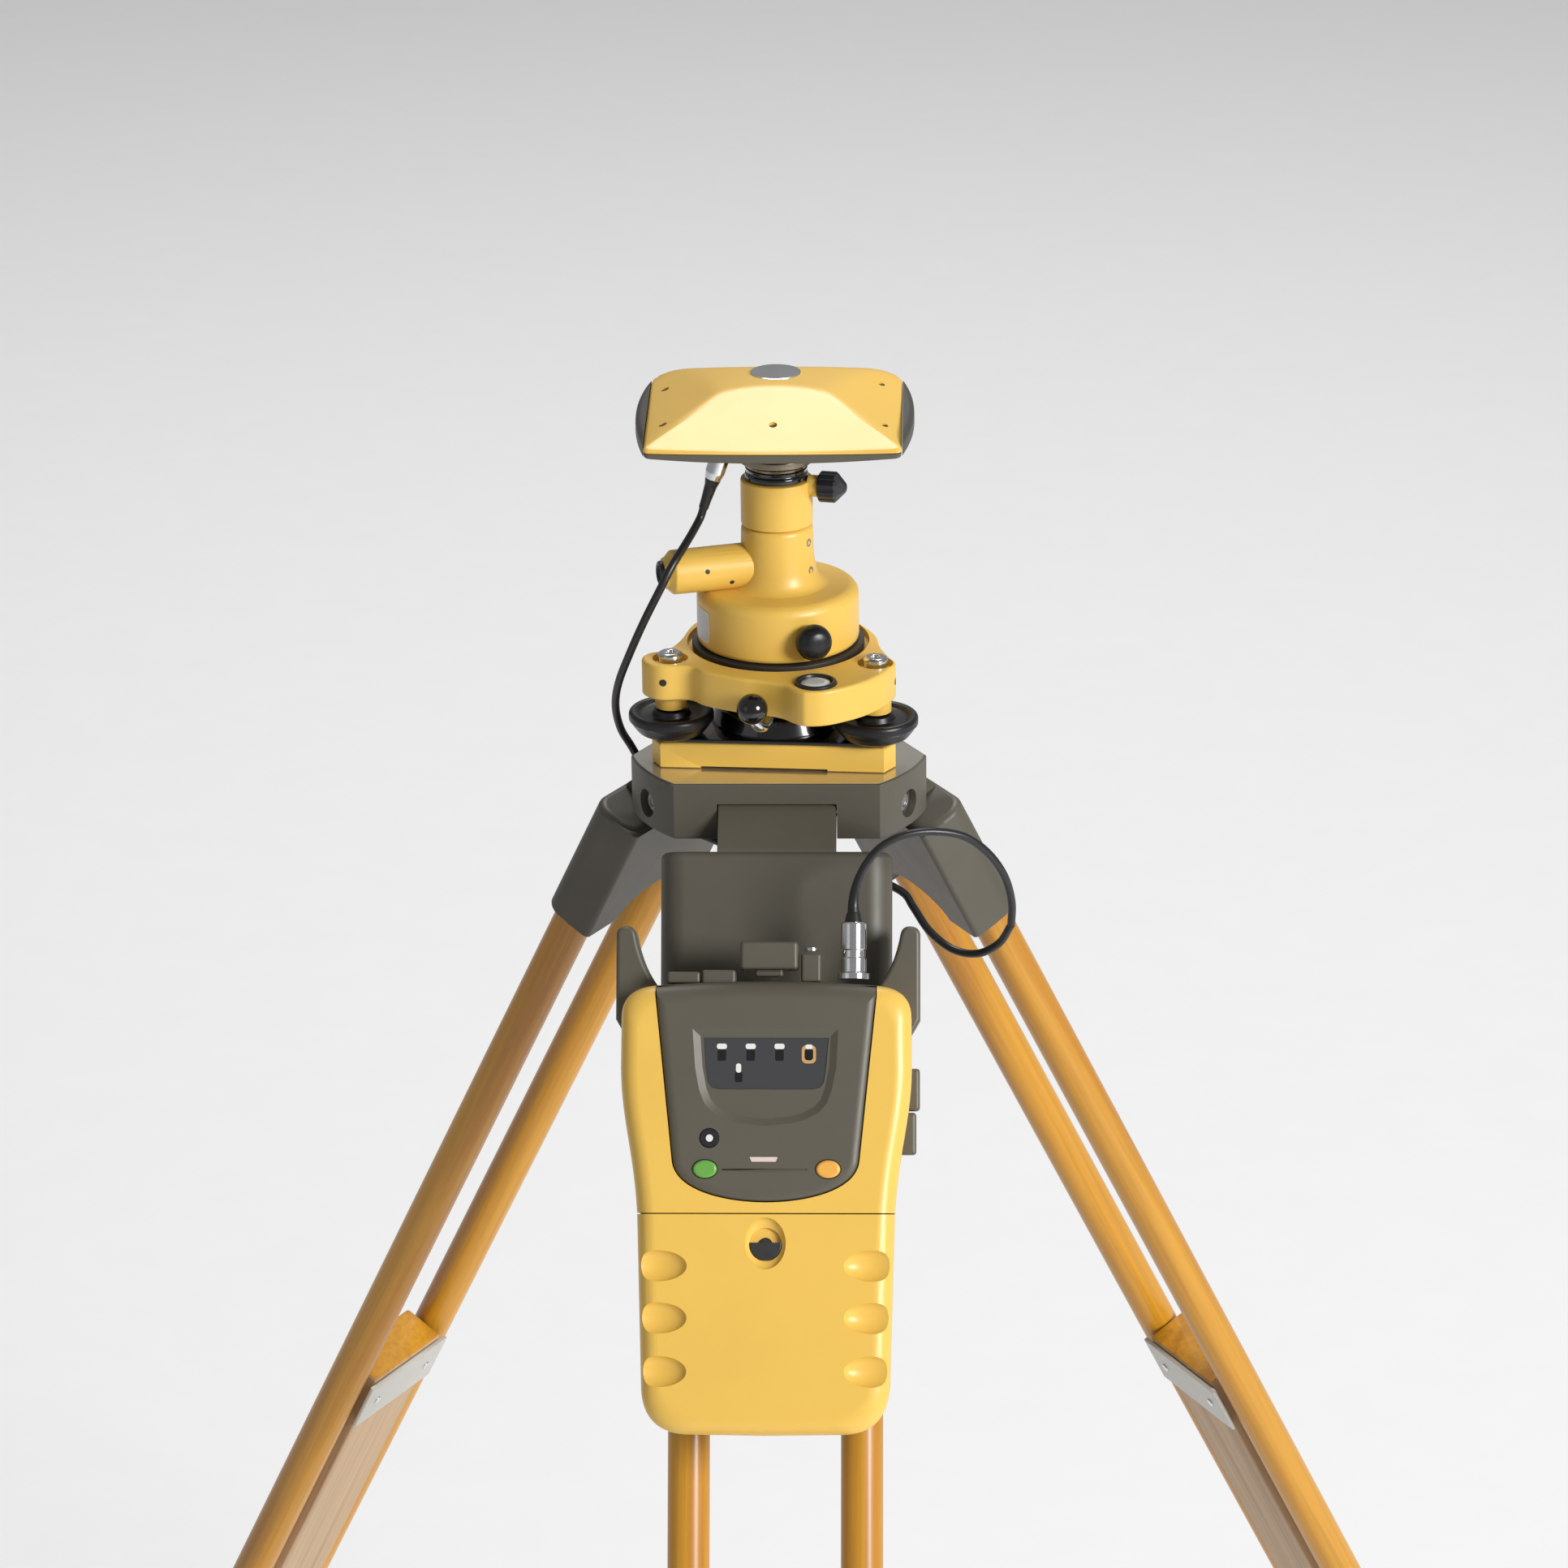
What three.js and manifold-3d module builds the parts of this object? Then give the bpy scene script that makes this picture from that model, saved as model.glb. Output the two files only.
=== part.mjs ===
// GNSS survey station: antenna on an optical plummet adapter and tribrach, carried by a wooden tripod,
// with the receiver hung on the front leg.
// Millimetres, +Z up. The origin is on the ground, at the centre of the tripod's bounding box.
// The front leg points to -Y, and the plumb axis is the vertical line x = 0, y = PLUMB_Y.
import * as THREE from 'three';
import * as BufferGeometryUtils from 'three/addons/utils/BufferGeometryUtils.js';
import Module from 'manifold-3d';

const wasm = await Module();
wasm.setup();

// ---------------------------------------------------------------- driving dimensions
const GAP = 0.3;

const LEG_TILT = THREE.MathUtils.degToRad(27.2);
const LEG_LENGTH = 1430;
const HINGE_RADIUS = 38;
const HINGE_DROP = 19;
const HEAD_Z = HINGE_DROP + LEG_LENGTH * Math.cos(LEG_TILT) - 18 * Math.sin(LEG_TILT);
const PLUMB_Y = 173.773;

const HEAD_RADIUS = 78.5;
const HEAD_FLAT = 58;
const HEAD_HEIGHT = 30.4;
const SLOT_WIDTH = 61.5;
const SLOT_TOP = -11;

const DOWEL_SPACING = 87.9;
const DOWEL_RADIUS = 10.7;
const DOWEL_OUT = 18;
const KNUCKLE_TOP = 27;
const KNUCKLE_END = 101;
const CLAMP_TOP = 880;
const CLAMP_END = 950;
const BOARD_TOP = 470;
const BOARD_END = 1318;
const BOARD_HALF_WIDTH = 32.2;
const BOARD_THICK = 25;

const TRIBRACH_TURN = THREE.MathUtils.degToRad(-4);
const FOOT_SCREW_CIRCLE = 61;
const PLATE_FLAT = 39.5;
const PLATE_CORNER = 58;
const BODY_LOW = 38.5;
const BODY_TOP = 57.5;

const DISC_RADIUS = 41.9;
const DISC_LOW = 59;
const DISC_TOP = 89;
const NECK_RADIUS = 18.5;
const SLEEVE_LOW = 122;
const SLEEVE_TOP = 146.2;
const SLEEVE_KNOB_Z = 142.8;
const SLEEVE_KNOB_TURN = -12;
const DISC_KNOB_TURN = -66.5;
const PLUMMET_TURN = 197;
const PLUMMET_Z = 100.4;
const DISC_KNOB_Z = 72.5;

const ANTENNA_LOW = 175.2;
const ANTENNA_RIM = 180.2;
const ANTENNA_TOP = 201;
const ANTENNA_HALF = 64.5;
const SOCKET_Z = 176;
const SIDE_SLOPE = THREE.MathUtils.degToRad(20);

const RECEIVER_BACK = 34;
const RECEIVER_SPLIT = 62;
const RECEIVER_FACE = 96;
const RECEIVER_TOP = 96;
const RECEIVER_SEAM = 211.5;
const RECEIVER_END = 321;
const RECEIVER_SHIFT = -3;
const SHELL = 2.6;
const KEY_DOWN = -189.6;
const LATCH_DOWN = -226.8;

const CABLE_RADIUS = 2.1;

// ---------------------------------------------------------------- materials
function paint(color, roughness, metalness = 0) {
  return new THREE.MeshStandardMaterial({ color, roughness, metalness });
}

const YELLOW = paint(0xe9bd55, 0.45);
const OLIVE = paint(0x5f5c52, 0.55);
const BLACK = paint(0x17181a, 0.35);
const STEEL = paint(0xb9bcbd, 0.3, 0.9);
const DOWEL_WOOD = paint(0xc8862b, 0.4);
const BOARD_WOOD = paint(0xc6a57e, 0.6);
const GREEN = paint(0x63b04a, 0.4);
const ORANGE = paint(0xe6a13e, 0.4);
const CIRCUIT = paint(0x2f6b45, 0.6);
const CELL = paint(0x3a3d42, 0.5);

// ---------------------------------------------------------------- solids
function toSolid(geometry) {
  const bare = new THREE.BufferGeometry();
  bare.setAttribute('position', geometry.attributes.position);
  if (geometry.index) bare.setIndex(geometry.index);
  const welded = BufferGeometryUtils.mergeVertices(bare, 1e-3);
  const index = Uint32Array.from(welded.index.array);
  return new wasm.Manifold(new wasm.Mesh({
    numProp: 3,
    vertProperties: Float32Array.from(welded.attributes.position.array),
    triVerts: index,
  }));
}

function toGeometry(solid) {
  const mesh = solid.getMesh();
  const geometry = new THREE.BufferGeometry();
  geometry.setAttribute('position', new THREE.BufferAttribute(Float32Array.from(mesh.vertProperties), 3));
  geometry.setIndex(new THREE.BufferAttribute(Uint32Array.from(mesh.triVerts), 1));
  geometry.computeVertexNormals();
  return geometry;
}

function block([x0, x1], [y0, y1], [z0, z1]) {
  const box = new THREE.BoxGeometry(x1 - x0, y1 - y0, z1 - z0);
  return toSolid(box.translate((x0 + x1) / 2, (y0 + y1) / 2, (z0 + z1) / 2));
}

// A cylinder or cone along Z from z0 (radius) to z1 (endRadius).
function rod(radius, z0, z1, sides = 16, endRadius = radius) {
  const cylinder = new THREE.CylinderGeometry(endRadius, radius, z1 - z0, sides);
  return toSolid(cylinder.rotateX(Math.PI / 2).translate(0, 0, (z0 + z1) / 2));
}

// A solid of revolution about Z. The profile's [radius, z] pairs start and end on the axis, lowest first.
function turned(profile, sides = 24) {
  const points = profile.map(([radius, z]) => new THREE.Vector2(radius, z));
  return toSolid(new THREE.LatheGeometry(points, sides).rotateX(Math.PI / 2));
}

// An outline in X and Y, raised from z0 to z1, with its edges rounded by bevel.
function slab(shape, z0, z1, bevel = 0, curveSegments = 4) {
  const depth = z1 - z0 - 2 * bevel;
  const options = { depth, bevelEnabled: bevel > 0, bevelSize: bevel, bevelThickness: bevel,
    bevelOffset: -bevel, bevelSegments: 1, steps: 1, curveSegments };
  return toSolid(new THREE.ExtrudeGeometry(shape, options).translate(0, 0, z0 + bevel));
}

// A slab whose outline is drawn in X and Z, raised along -Y from y = -v0 to y = -v1.
function standing(shape, v0, v1, bevel = 0, curveSegments = 4) {
  return slab(shape, v0, v1, bevel, curveSegments).rotate([90, 0, 0]);
}

// A solid drawn along +Z, laid along the level direction at that azimuth and height.
function outwards(solid, azimuth, height) {
  return solid.rotate([0, 90, 0]).rotate([0, 0, azimuth]).translate([0, 0, height]);
}

function polygon(points) {
  return new THREE.Shape(points.map(([x, y]) => new THREE.Vector2(x, y)));
}

function rounded(x0, x1, y0, y1, radius) {
  const shape = new THREE.Shape();
  shape.moveTo(x0 + radius, y0);
  shape.lineTo(x1 - radius, y0);
  shape.absarc(x1 - radius, y0 + radius, radius, -Math.PI / 2, 0);
  shape.lineTo(x1, y1 - radius);
  shape.absarc(x1 - radius, y1 - radius, radius, 0, Math.PI / 2);
  shape.lineTo(x0 + radius, y1);
  shape.absarc(x0 + radius, y1 - radius, radius, Math.PI / 2, Math.PI);
  shape.lineTo(x0, y0 + radius);
  shape.absarc(x0 + radius, y0 + radius, radius, Math.PI, Math.PI * 1.5);
  return shape;
}

function oval(x, y, rx, ry) {
  return new THREE.Shape().absellipse(x, y, rx, ry, 0, Math.PI * 2);
}

// A round tube of the given radius along a smooth curve through the points.
function tube(points, radius, sides, steps) {
  const path = new THREE.CatmullRomCurve3(points.map((p) => new THREE.Vector3(...p)), false, 'centripetal');
  const corners = [];
  for (let k = 0; k < sides; k += 1) {
    const angle = (k * 2 * Math.PI) / sides;
    corners.push([radius * Math.cos(angle), radius * Math.sin(angle)]);
  }
  const section = polygon(corners);
  return toSolid(new THREE.ExtrudeGeometry(section, { extrudePath: path, steps, bevelEnabled: false }));
}

function piece(parent, name, solid, material) {
  const mesh = new THREE.Mesh(toGeometry(solid), material);
  mesh.name = name;
  parent.add(mesh);
}

function frameGroup(parent, x, y, z) {
  const frame = new THREE.Group();
  frame.position.set(x, y, z);
  parent.add(frame);
  return frame;
}

const group = new THREE.Group();
const LEGS = [['front', 0], ['right', 120], ['left', 240]];

// ---------------------------------------------------------------- tripod head
// Drawn about the plumb axis with z = 0 on the head's top.
function headOutline() {
  const half = Math.acos(HEAD_FLAT / HEAD_RADIUS);
  const shape = new THREE.Shape();
  for (const [, degrees] of LEGS) {
    const middle = THREE.MathUtils.degToRad(degrees - 90);
    shape.absarc(0, 0, HEAD_RADIUS, middle + half, middle + (2 * Math.PI) / 3 - half);
  }
  return shape;
}

function tripodHead() {
  const recessDepth = 4.5;
  const recessRadius = 7.5;
  let head = slab(headOutline(), -HEAD_HEIGHT, 0, 0.8, 8);
  head = head.subtract(rod(30, -40, 5, 24));
  for (const [, degrees] of LEGS) {
    const half = SLOT_WIDTH / 2;
    const slot = block([-half, half], [-90, -27], [-40, SLOT_TOP]);
    const pocket = block([-half, half], [-50, -27], [-40, SLOT_TOP + 2]);
    const bore = rod(4.8, -54, 54, 12).rotate([0, 90, 0]).translate([0, -HINGE_RADIUS, -HINGE_DROP]);
    const recess = rod(recessRadius, HEAD_RADIUS - recessDepth, 90, 12).rotate([0, 90, 0]);
    head = head.subtract(slot.add(pocket).rotate([0, 0, degrees]));
    head = head.subtract(bore.rotate([0, 0, degrees]));
    head = head.subtract(recess.translate([0, 0, -16]).rotate([0, 0, degrees - 30]));
  }
  return head;
}

// Centre screw: a threaded stud up into the tribrach's base, and a hand knob under the head.
function centreScrew() {
  const knob = turned([[0, -92], [13, -92], [17, -89], [17, -62], [14, -58], [14, -52],
    [24, -50], [31, -36], [31, -31.2], [7.6, -31.2], [7.6, 8], [0, 8]], 16);
  let grips = knob;
  for (let k = 0; k < 8; k += 1) {
    grips = grips.subtract(rod(2.6, -95, -60, 6).translate([18.2, 0, 0]).rotate([0, 0, k * 45]));
  }
  return grips;
}

// ---------------------------------------------------------------- legs
// In a leg's frame the origin is the hinge, +X across the leg, -Y out of its front face, -Z down the leg.
function knuckle() {
  const outer = DOWEL_SPACING / 2 + 15.2;
  const section = rounded(-outer, outer, -DOWEL_OUT - 14.3, -DOWEL_OUT + 17, 12.5);
  const inner = rounded(-outer, outer, -DOWEL_OUT, -DOWEL_OUT + 17, 3);
  let body = slab(section, -KNUCKLE_END, -KNUCKLE_TOP, 3, 4);
  body = body.add(slab(inner, -KNUCKLE_END + 0.4, -KNUCKLE_TOP - 1.6));
  const round = rod(60, -60, 10, 24).rotate([90, 0, 0]).scale([0.52, 1, 0.24]);
  const arch = round.translate([0, -40, -KNUCKLE_END]);
  body = body.subtract(arch);
  const neck = polygon([[-9, 2], [0, 9.4], [9, 6], [19.9, -3.2], [30, -25], [30, -40], [5, -40], [-7, -8]]);
  const half = SLOT_WIDTH / 2 - 0.4;
  const neckSolid = slab(neck, -half, half).rotate([90, 0, -90]);
  body = body.add(neckSolid).add(rod(9.4, -half, half, 16).rotate([0, 90, 0]));
  body = body.subtract(rod(4.8, -40, 40, 12).rotate([0, 90, 0]));
  for (const side of [-1, 1]) {
    const socket = rod(DOWEL_RADIUS + GAP, -120, -62, 16);
    body = body.subtract(socket.translate([(side * DOWEL_SPACING) / 2, -DOWEL_OUT, 0]));
  }
  return body;
}

function dowel(side) {
  const wood = rod(DOWEL_RADIUS, -CLAMP_END + 8, -62.5, 16);
  return wood.translate([(side * DOWEL_SPACING) / 2, -DOWEL_OUT, 0]);
}

// The casting that joins the dowels' lower ends and guides the extension board between them.
function lowerClamp() {
  const outer = DOWEL_SPACING / 2 + 14.3;
  let body = slab(rounded(-outer, outer, -36, -1, 13), -CLAMP_END, -CLAMP_TOP, 2, 3);
  for (const side of [-1, 1]) {
    const socket = rod(DOWEL_RADIUS + GAP, -CLAMP_END + 7.5, -CLAMP_TOP + 10, 16);
    body = body.subtract(socket.translate([(side * DOWEL_SPACING) / 2, -DOWEL_OUT, 0]));
  }
  const channel = BOARD_HALF_WIDTH + 0.5;
  const walls = [-DOWEL_OUT - 13, -DOWEL_OUT + 13];
  body = body.subtract(block([-channel, channel], walls, [-CLAMP_END - 5, -CLAMP_TOP + 5]));
  const boss = rod(9, 33, 41, 12).rotate([90, 0, 0]).translate([0, 0, -(CLAMP_TOP + CLAMP_END) / 2]);
  const hole = rod(5.4, 20, 60, 12).rotate([90, 0, 0]).translate([0, 0, -(CLAMP_TOP + CLAMP_END) / 2]);
  return body.add(boss).subtract(hole);
}

// A wing knob on a threaded shank that presses on the board.
function clampScrew() {
  const shank = rod(5, 31.6, 46, 12);
  const hub = rod(10, 43, 58, 16, 8);
  const wings = slab(rounded(-24, 24, -5, 5, 3.5), 47, 56, 1, 2);
  const screw = shank.add(hub).add(wings);
  return screw.rotate([90, 0, 0]).translate([0, 0, -(CLAMP_TOP + CLAMP_END) / 2]);
}

function extensionBoard() {
  const faces = [-DOWEL_OUT - BOARD_THICK / 2, -DOWEL_OUT + BOARD_THICK / 2];
  return block([-BOARD_HALF_WIDTH, BOARD_HALF_WIDTH], faces, [-BOARD_END, -BOARD_TOP]);
}

// A steel shoe: socket plates on the board's end, a tread to step on, and a point cut flat by the ground.
function footShoe() {
  const half = BOARD_HALF_WIDTH + 3;
  const outline = polygon([[-half, -1292], [-half, -1330], [-9, -1392], [-7, -1440], [7, -1440],
    [9, -1392], [half, -1330], [half, -1292]]);
  const plates = [DOWEL_OUT - 16, DOWEL_OUT + 16];
  let shoe = standing(outline, ...plates);
  const socket = block([-BOARD_HALF_WIDTH - GAP, BOARD_HALF_WIDTH + GAP],
    [-DOWEL_OUT - 12.9, -DOWEL_OUT + 12.9], [-BOARD_END - GAP, -1280]);
  shoe = shoe.subtract(socket);
  const taper = polygon([[2, -1280], [2, -1335], [11, -1440], [25, -1440], [34, -1335], [34, -1280]]);
  const sides = slab(taper, -60, 60).rotate([90, 0, -90]);
  shoe = shoe.intersect(sides);
  const tread = slab(rounded(-16, 16, -62, -25, 8), -1352, -1346, 0, 3);
  shoe = shoe.add(tread);
  const ground = block([-80, 80], [-80, 80], [-60, 0]).rotate([THREE.MathUtils.radToDeg(LEG_TILT), 0, 0]);
  return shoe.subtract(ground.translate([0, -DOWEL_OUT, -LEG_LENGTH]));
}

function leg(parent, name, degrees) {
  const turn = frameGroup(parent, 0, 0, 0);
  turn.rotation.z = THREE.MathUtils.degToRad(degrees);
  const pin = rod(4.5, -52, 52, 12).rotate([0, 90, 0]);
  const hinge = frameGroup(turn, 0, -HINGE_RADIUS, -HINGE_DROP);
  piece(hinge, `hinge_pin_${name}`, pin, STEEL);
  const frame = frameGroup(hinge, 0, 0, 0);
  frame.rotation.x = -LEG_TILT;
  piece(frame, `knuckle_${name}`, knuckle(), OLIVE);
  piece(frame, `dowel_${name}_a`, dowel(-1), DOWEL_WOOD);
  piece(frame, `dowel_${name}_b`, dowel(1), DOWEL_WOOD);
  piece(frame, `lower_clamp_${name}`, lowerClamp(), OLIVE);
  piece(frame, `clamp_screw_${name}`, clampScrew(), BLACK);
  piece(frame, `extension_board_${name}`, extensionBoard(), BOARD_WOOD);
  piece(frame, `foot_shoe_${name}`, footShoe(), STEEL);
  return frame;
}

// ---------------------------------------------------------------- tribrach
// A triangle with its corners cut off, shared by the base plate and the spring plate on it.
function plateOutline(inset) {
  const points = [];
  for (const [, degrees] of LEGS) {
    const middle = THREE.MathUtils.degToRad(degrees - 90);
    const out = PLATE_FLAT - inset;
    for (const across of [-PLATE_CORNER + inset, PLATE_CORNER - inset]) {
      const x = out * Math.cos(middle) - across * Math.sin(middle);
      const y = out * Math.sin(middle) + across * Math.cos(middle);
      points.push([x, y]);
    }
  }
  return polygon(points);
}

function basePlate() {
  let plate = slab(plateOutline(0), GAP, 13.8, 1.2);
  plate = plate.subtract(rod(8.4, -5, 20, 16));
  const slit = block([-35.5, 29], [-60, -PLATE_FLAT + 4], [-1, 1.8]);
  return plate.subtract(slit);
}

// A sprung steel plate that holds the three foot screws' lower ends down on the base plate.
function springPlate() {
  let plate = slab(plateOutline(1.2), 14.1, 15.8);
  plate = plate.add(turned([[0, 15], [33, 15], [33, 25], [27, 30], [0, 30]], 24));
  plate = plate.subtract(rod(20, 0, 60, 24));
  for (let k = 0; k < 3; k += 1) {
    const hole = rod(23, 15.8, 40, 24).add(rod(5.6, 10, 20, 12)).translate([0, -FOOT_SCREW_CIRCLE, 0]);
    plate = plate.subtract(hole.rotate([0, 0, k * 120 + 60]));
  }
  return plate;
}

// Ears over the foot screws, a ring round the middle, and a nose that carries the circular level.
const TRIBRACH_OUTLINE = [
  [-67.6, -29], [-66.2, -36], [-61, -41.5], [-55, -43.4], [-46.5, -42], [-40, -43],
  [-34.7, -48.5], [-26.4, -53], [-14, -58], [-3, -60.3], [7.5, -64.6], [18, -73.6],
  [22.3, -74.8], [33, -72], [48, -60], [57.4, -47], [61, -38], [63.2, -29], [59.6, -21],
  [53.6, -6], [49, 13], [35, 35], [17.5, 51], [15, 60], [12.4, 67], [6, 71.5], [-1, 72.3],
  [-8, 71], [-13.7, 67], [-16.5, 60], [-17.8, 53], [-35, 38], [-46.6, 21.8], [-51, -3.5],
  [-56.5, -18], [-64.6, -23]];

function tribrachBody() {
  let body = slab(polygon(TRIBRACH_OUTLINE), BODY_LOW, BODY_TOP, 1.6);
  for (let k = 0; k < 3; k += 1) {
    const place = (solid) => solid.translate([0, -FOOT_SCREW_CIRCLE, 0]).rotate([0, 0, k * 120 + 60]);
    body = body.add(place(rod(8.2, 31.4, BODY_LOW + 3, 16)));
    body = body.subtract(place(rod(5.2, 20, 70, 12)));
    body = body.subtract(place(rod(7.4, BODY_TOP - 3, 70, 16)));
  }
  body = body.subtract(rod(29.6, 30, 70, 28));
  body = body.subtract(rod(47.2, BODY_TOP - 3.4, 70, 32));
  body = body.subtract(rod(10.9, BODY_TOP - 7, 70, 20).translate([25, -61.5, 0]));
  return body;
}

function footScrew() {
  const profile = [[0, 14.2], [5, 14.2], [5, 16.2], [13.5, 16.2], [19.6, 20], [22, 24.6], [22, 28], [20.6, 29.6],
    [4.8, 30.4], [4.8, 55.6], [6.4, 55.8], [6.4, 58], [4.8, 59.4], [0, 59.4]];
  return turned(profile, 20);
}

// The lever that locks the adapter turns a ring under the body. Its ball stands up in front of the body.
function lockLever() {
  const ring = rod(40, 33, 38, 28).subtract(rod(30.6, 30, 40, 28));
  const bend = [[-2, -34, 35.4], [-3.5, -50, 34.8], [-5.5, -61, 33.6], [-8.5, -68, 36], [-11.5, -70, 45]];
  const ball = toSolid(new THREE.SphereGeometry(8, 14, 9)).translate([-11.5, -69.5, 45.8]);
  return ring.add(tube(bend, 2.8, 8, 12)).add(ball);
}

function circularLevel() {
  const profile = [[0, 50.9], [10.6, 50.9], [10.6, 58.6], [8.6, 58.9], [8.2, 57.6], [8.2, 53.4], [0, 53.4]];
  return turned(profile, 20).translate([25, -61.5, 0]);
}

function levelVial() {
  const glass = turned([[0, 53.7], [7.9, 53.7], [7.9, 57.6], [5, 58.8], [0, 59]], 16);
  return glass.translate([25, -61.5, 0]);
}

function tribrach(parent) {
  const frame = frameGroup(parent, 0, 0, 0);
  frame.rotation.z = TRIBRACH_TURN;
  piece(frame, 'tribrach_base_plate', basePlate(), YELLOW);
  piece(frame, 'spring_plate', springPlate(), BLACK);
  piece(frame, 'tribrach_body', tribrachBody(), YELLOW);
  ['right', 'back', 'left'].forEach((name, k) => {
    const screw = footScrew().translate([0, -FOOT_SCREW_CIRCLE, 0]).rotate([0, 0, k * 120 + 60]);
    piece(frame, `foot_screw_${name}`, screw, BLACK);
  });
  piece(parent, 'lock_lever', lockLever(), BLACK);
  piece(frame, 'level_cup', circularLevel(), BLACK);
  piece(frame, 'level_vial', levelVial(), STEEL);
}

// ---------------------------------------------------------------- plummet adapter
function adapterRing() {
  const top = DISC_LOW - GAP;
  return turned([[0, 44], [29, 44], [29, 54.4], [44.6, 54.4], [44.6, top], [0, top]], 32)
    .subtract(rod(12, 40, 60, 16));
}

// One casting: the disc, the neck and the plummet's side arm.
function adapterBody() {
  const rim = [[DISC_RADIUS, DISC_LOW], [DISC_RADIUS, DISC_TOP - 3.6], [DISC_RADIUS - 3.4, DISC_TOP]];
  const profile = [[0, DISC_LOW], ...rim,
    [23, DISC_TOP + 2.6], [20.4, DISC_TOP + 5.4], [NECK_RADIUS + 0.3, DISC_TOP + 17],
    [NECK_RADIUS, SLEEVE_LOW - GAP], [0, SLEEVE_LOW - GAP]];
  const arm = rod(11.5, 10, 56.5, 20, 11.2).add(rod(11.2, 56.5, 61, 20, 7.8));
  const eyepieceBore = rod(5.6, 50, 65, 16);
  const knobBore = rod(3.4, DISC_RADIUS - 8, 50, 10);
  return turned(profile, 32)
    .add(outwards(arm, PLUMMET_TURN, PLUMMET_Z))
    .subtract(outwards(eyepieceBore, PLUMMET_TURN, PLUMMET_Z))
    .subtract(outwards(knobBore, DISC_KNOB_TURN, DISC_KNOB_Z))
    .subtract(rod(8, 50, 118, 16));
}

function eyepiece() {
  const profile = [[0, 50.4], [5.2, 50.4], [5.2, 61.3], [6.6, 61.5], [6.4, 63], [4.4, 63.4],
    [4, 62.4], [0, 62.4]];
  return outwards(turned(profile, 16), PLUMMET_TURN, PLUMMET_Z);
}

function ballKnob() {
  const profile = [[0, DISC_RADIUS - 7.5], [3, DISC_RADIUS - 7.5], [3, DISC_RADIUS + 1], [6, DISC_RADIUS + 1.4],
    [9.5, DISC_RADIUS + 6], [8.4, DISC_RADIUS + 10.4], [5, DISC_RADIUS + 13], [0, DISC_RADIUS + 13.8]];
  return outwards(turned(profile, 16), DISC_KNOB_TURN, DISC_KNOB_Z);
}

function sleeve() {
  const profile = [[0, SLEEVE_LOW], [NECK_RADIUS, SLEEVE_LOW], [NECK_RADIUS, SLEEVE_TOP - 0.8],
    [NECK_RADIUS - 0.8, SLEEVE_TOP], [0, SLEEVE_TOP]];
  const boss = rod(5.6, 16.8, 22, 12);
  const bossBore = rod(2.9, 8, 30, 8);
  return turned(profile, 28)
    .add(outwards(boss, SLEEVE_KNOB_TURN, SLEEVE_KNOB_Z))
    .subtract(outwards(bossBore, SLEEVE_KNOB_TURN, SLEEVE_KNOB_Z))
    .subtract(rod(13.9, SLEEVE_LOW + 3, 160, 20));
}

// An octagonal hand screw with a pointed end.
function sleeveKnob() {
  const head = rod(8.2, 22.4, 32, 8).add(rod(7.4, 32, 37, 8, 1.2));
  const screw = rod(2.6, 14.2, 24, 8).add(head);
  return outwards(screw, SLEEVE_KNOB_TURN, SLEEVE_KNOB_Z);
}

function antennaStub() {
  const profile = [[0, 126], [13.5, 126], [13.5, SLEEVE_TOP + GAP], [16.4, SLEEVE_TOP + GAP], [16.4, 152],
    [19.4, 155.5], [19.4, 159.5], [14, 160.5], [14, 162.7], [0, 162.7]];
  return turned(profile, 20);
}

function adapter(parent) {
  piece(parent, 'adapter_ring', adapterRing(), BLACK);
  piece(parent, 'adapter_body', adapterBody(), YELLOW);
  piece(parent, 'plummet_eyepiece', eyepiece(), BLACK);
  piece(parent, 'adapter_clamp_knob', ballKnob(), BLACK);
  piece(parent, 'adapter_sleeve', sleeve(), YELLOW);
  piece(parent, 'sleeve_clamp_knob', sleeveKnob(), BLACK);
  piece(parent, 'antenna_stub', antennaStub(), BLACK);
}

// ---------------------------------------------------------------- antenna
// The plan is square in front and rounded behind. Inset pulls every side in.
function antennaPlan(inset, bulge = 0) {
  const side = ANTENNA_HALF - inset;
  const front = -66 + inset;
  const back = 66 - inset;
  const shape = new THREE.Shape();
  shape.moveTo(-side, front + 4);
  shape.quadraticCurveTo(-side, front + 1, -side + 3, front + 0.6);
  shape.quadraticCurveTo(0, front - 3.4, side - 3, front + 0.6);
  shape.quadraticCurveTo(side, front + 1, side, front + 4);
  shape.bezierCurveTo(side + bulge, front + 40, side + bulge, 8, side, 34);
  shape.bezierCurveTo(side - 0.6, 56, side - 6, back, side - 22, back);
  shape.lineTo(-side + 22, back);
  shape.bezierCurveTo(-side + 6, back, -side + 0.6, 56, -side, 34);
  shape.bezierCurveTo(-side - bulge, 8, -side - bulge, front + 40, -side, front + 4);
  return shape;
}

// The antenna's cable socket points down, leaning outwards to the left.
function atSocket(solid) {
  return solid.rotate([2, 18, 0]).translate([-22.5, -1.6, SOCKET_Z]);
}

function antennaTray() {
  let tray = slab(antennaPlan(0.2), ANTENNA_LOW, ANTENNA_RIM - GAP, 1.2, 4);
  const bumpers = slab(antennaPlan(0, 8.5), ANTENNA_LOW + 0.4, ANTENNA_RIM + 6, 2, 4);
  tray = tray.add(bumpers.subtract(slab(antennaPlan(-0.3), ANTENNA_RIM - GAP, 230, 0, 4)));
  tray = tray.subtract(slab(antennaPlan(4), ANTENNA_LOW + 2.6, 230, 0, 4));
  tray = tray.add(rod(17, 163, ANTENNA_LOW + 4, 24));
  return tray.subtract(atSocket(rod(7.6, -20, 20)));
}

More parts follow.
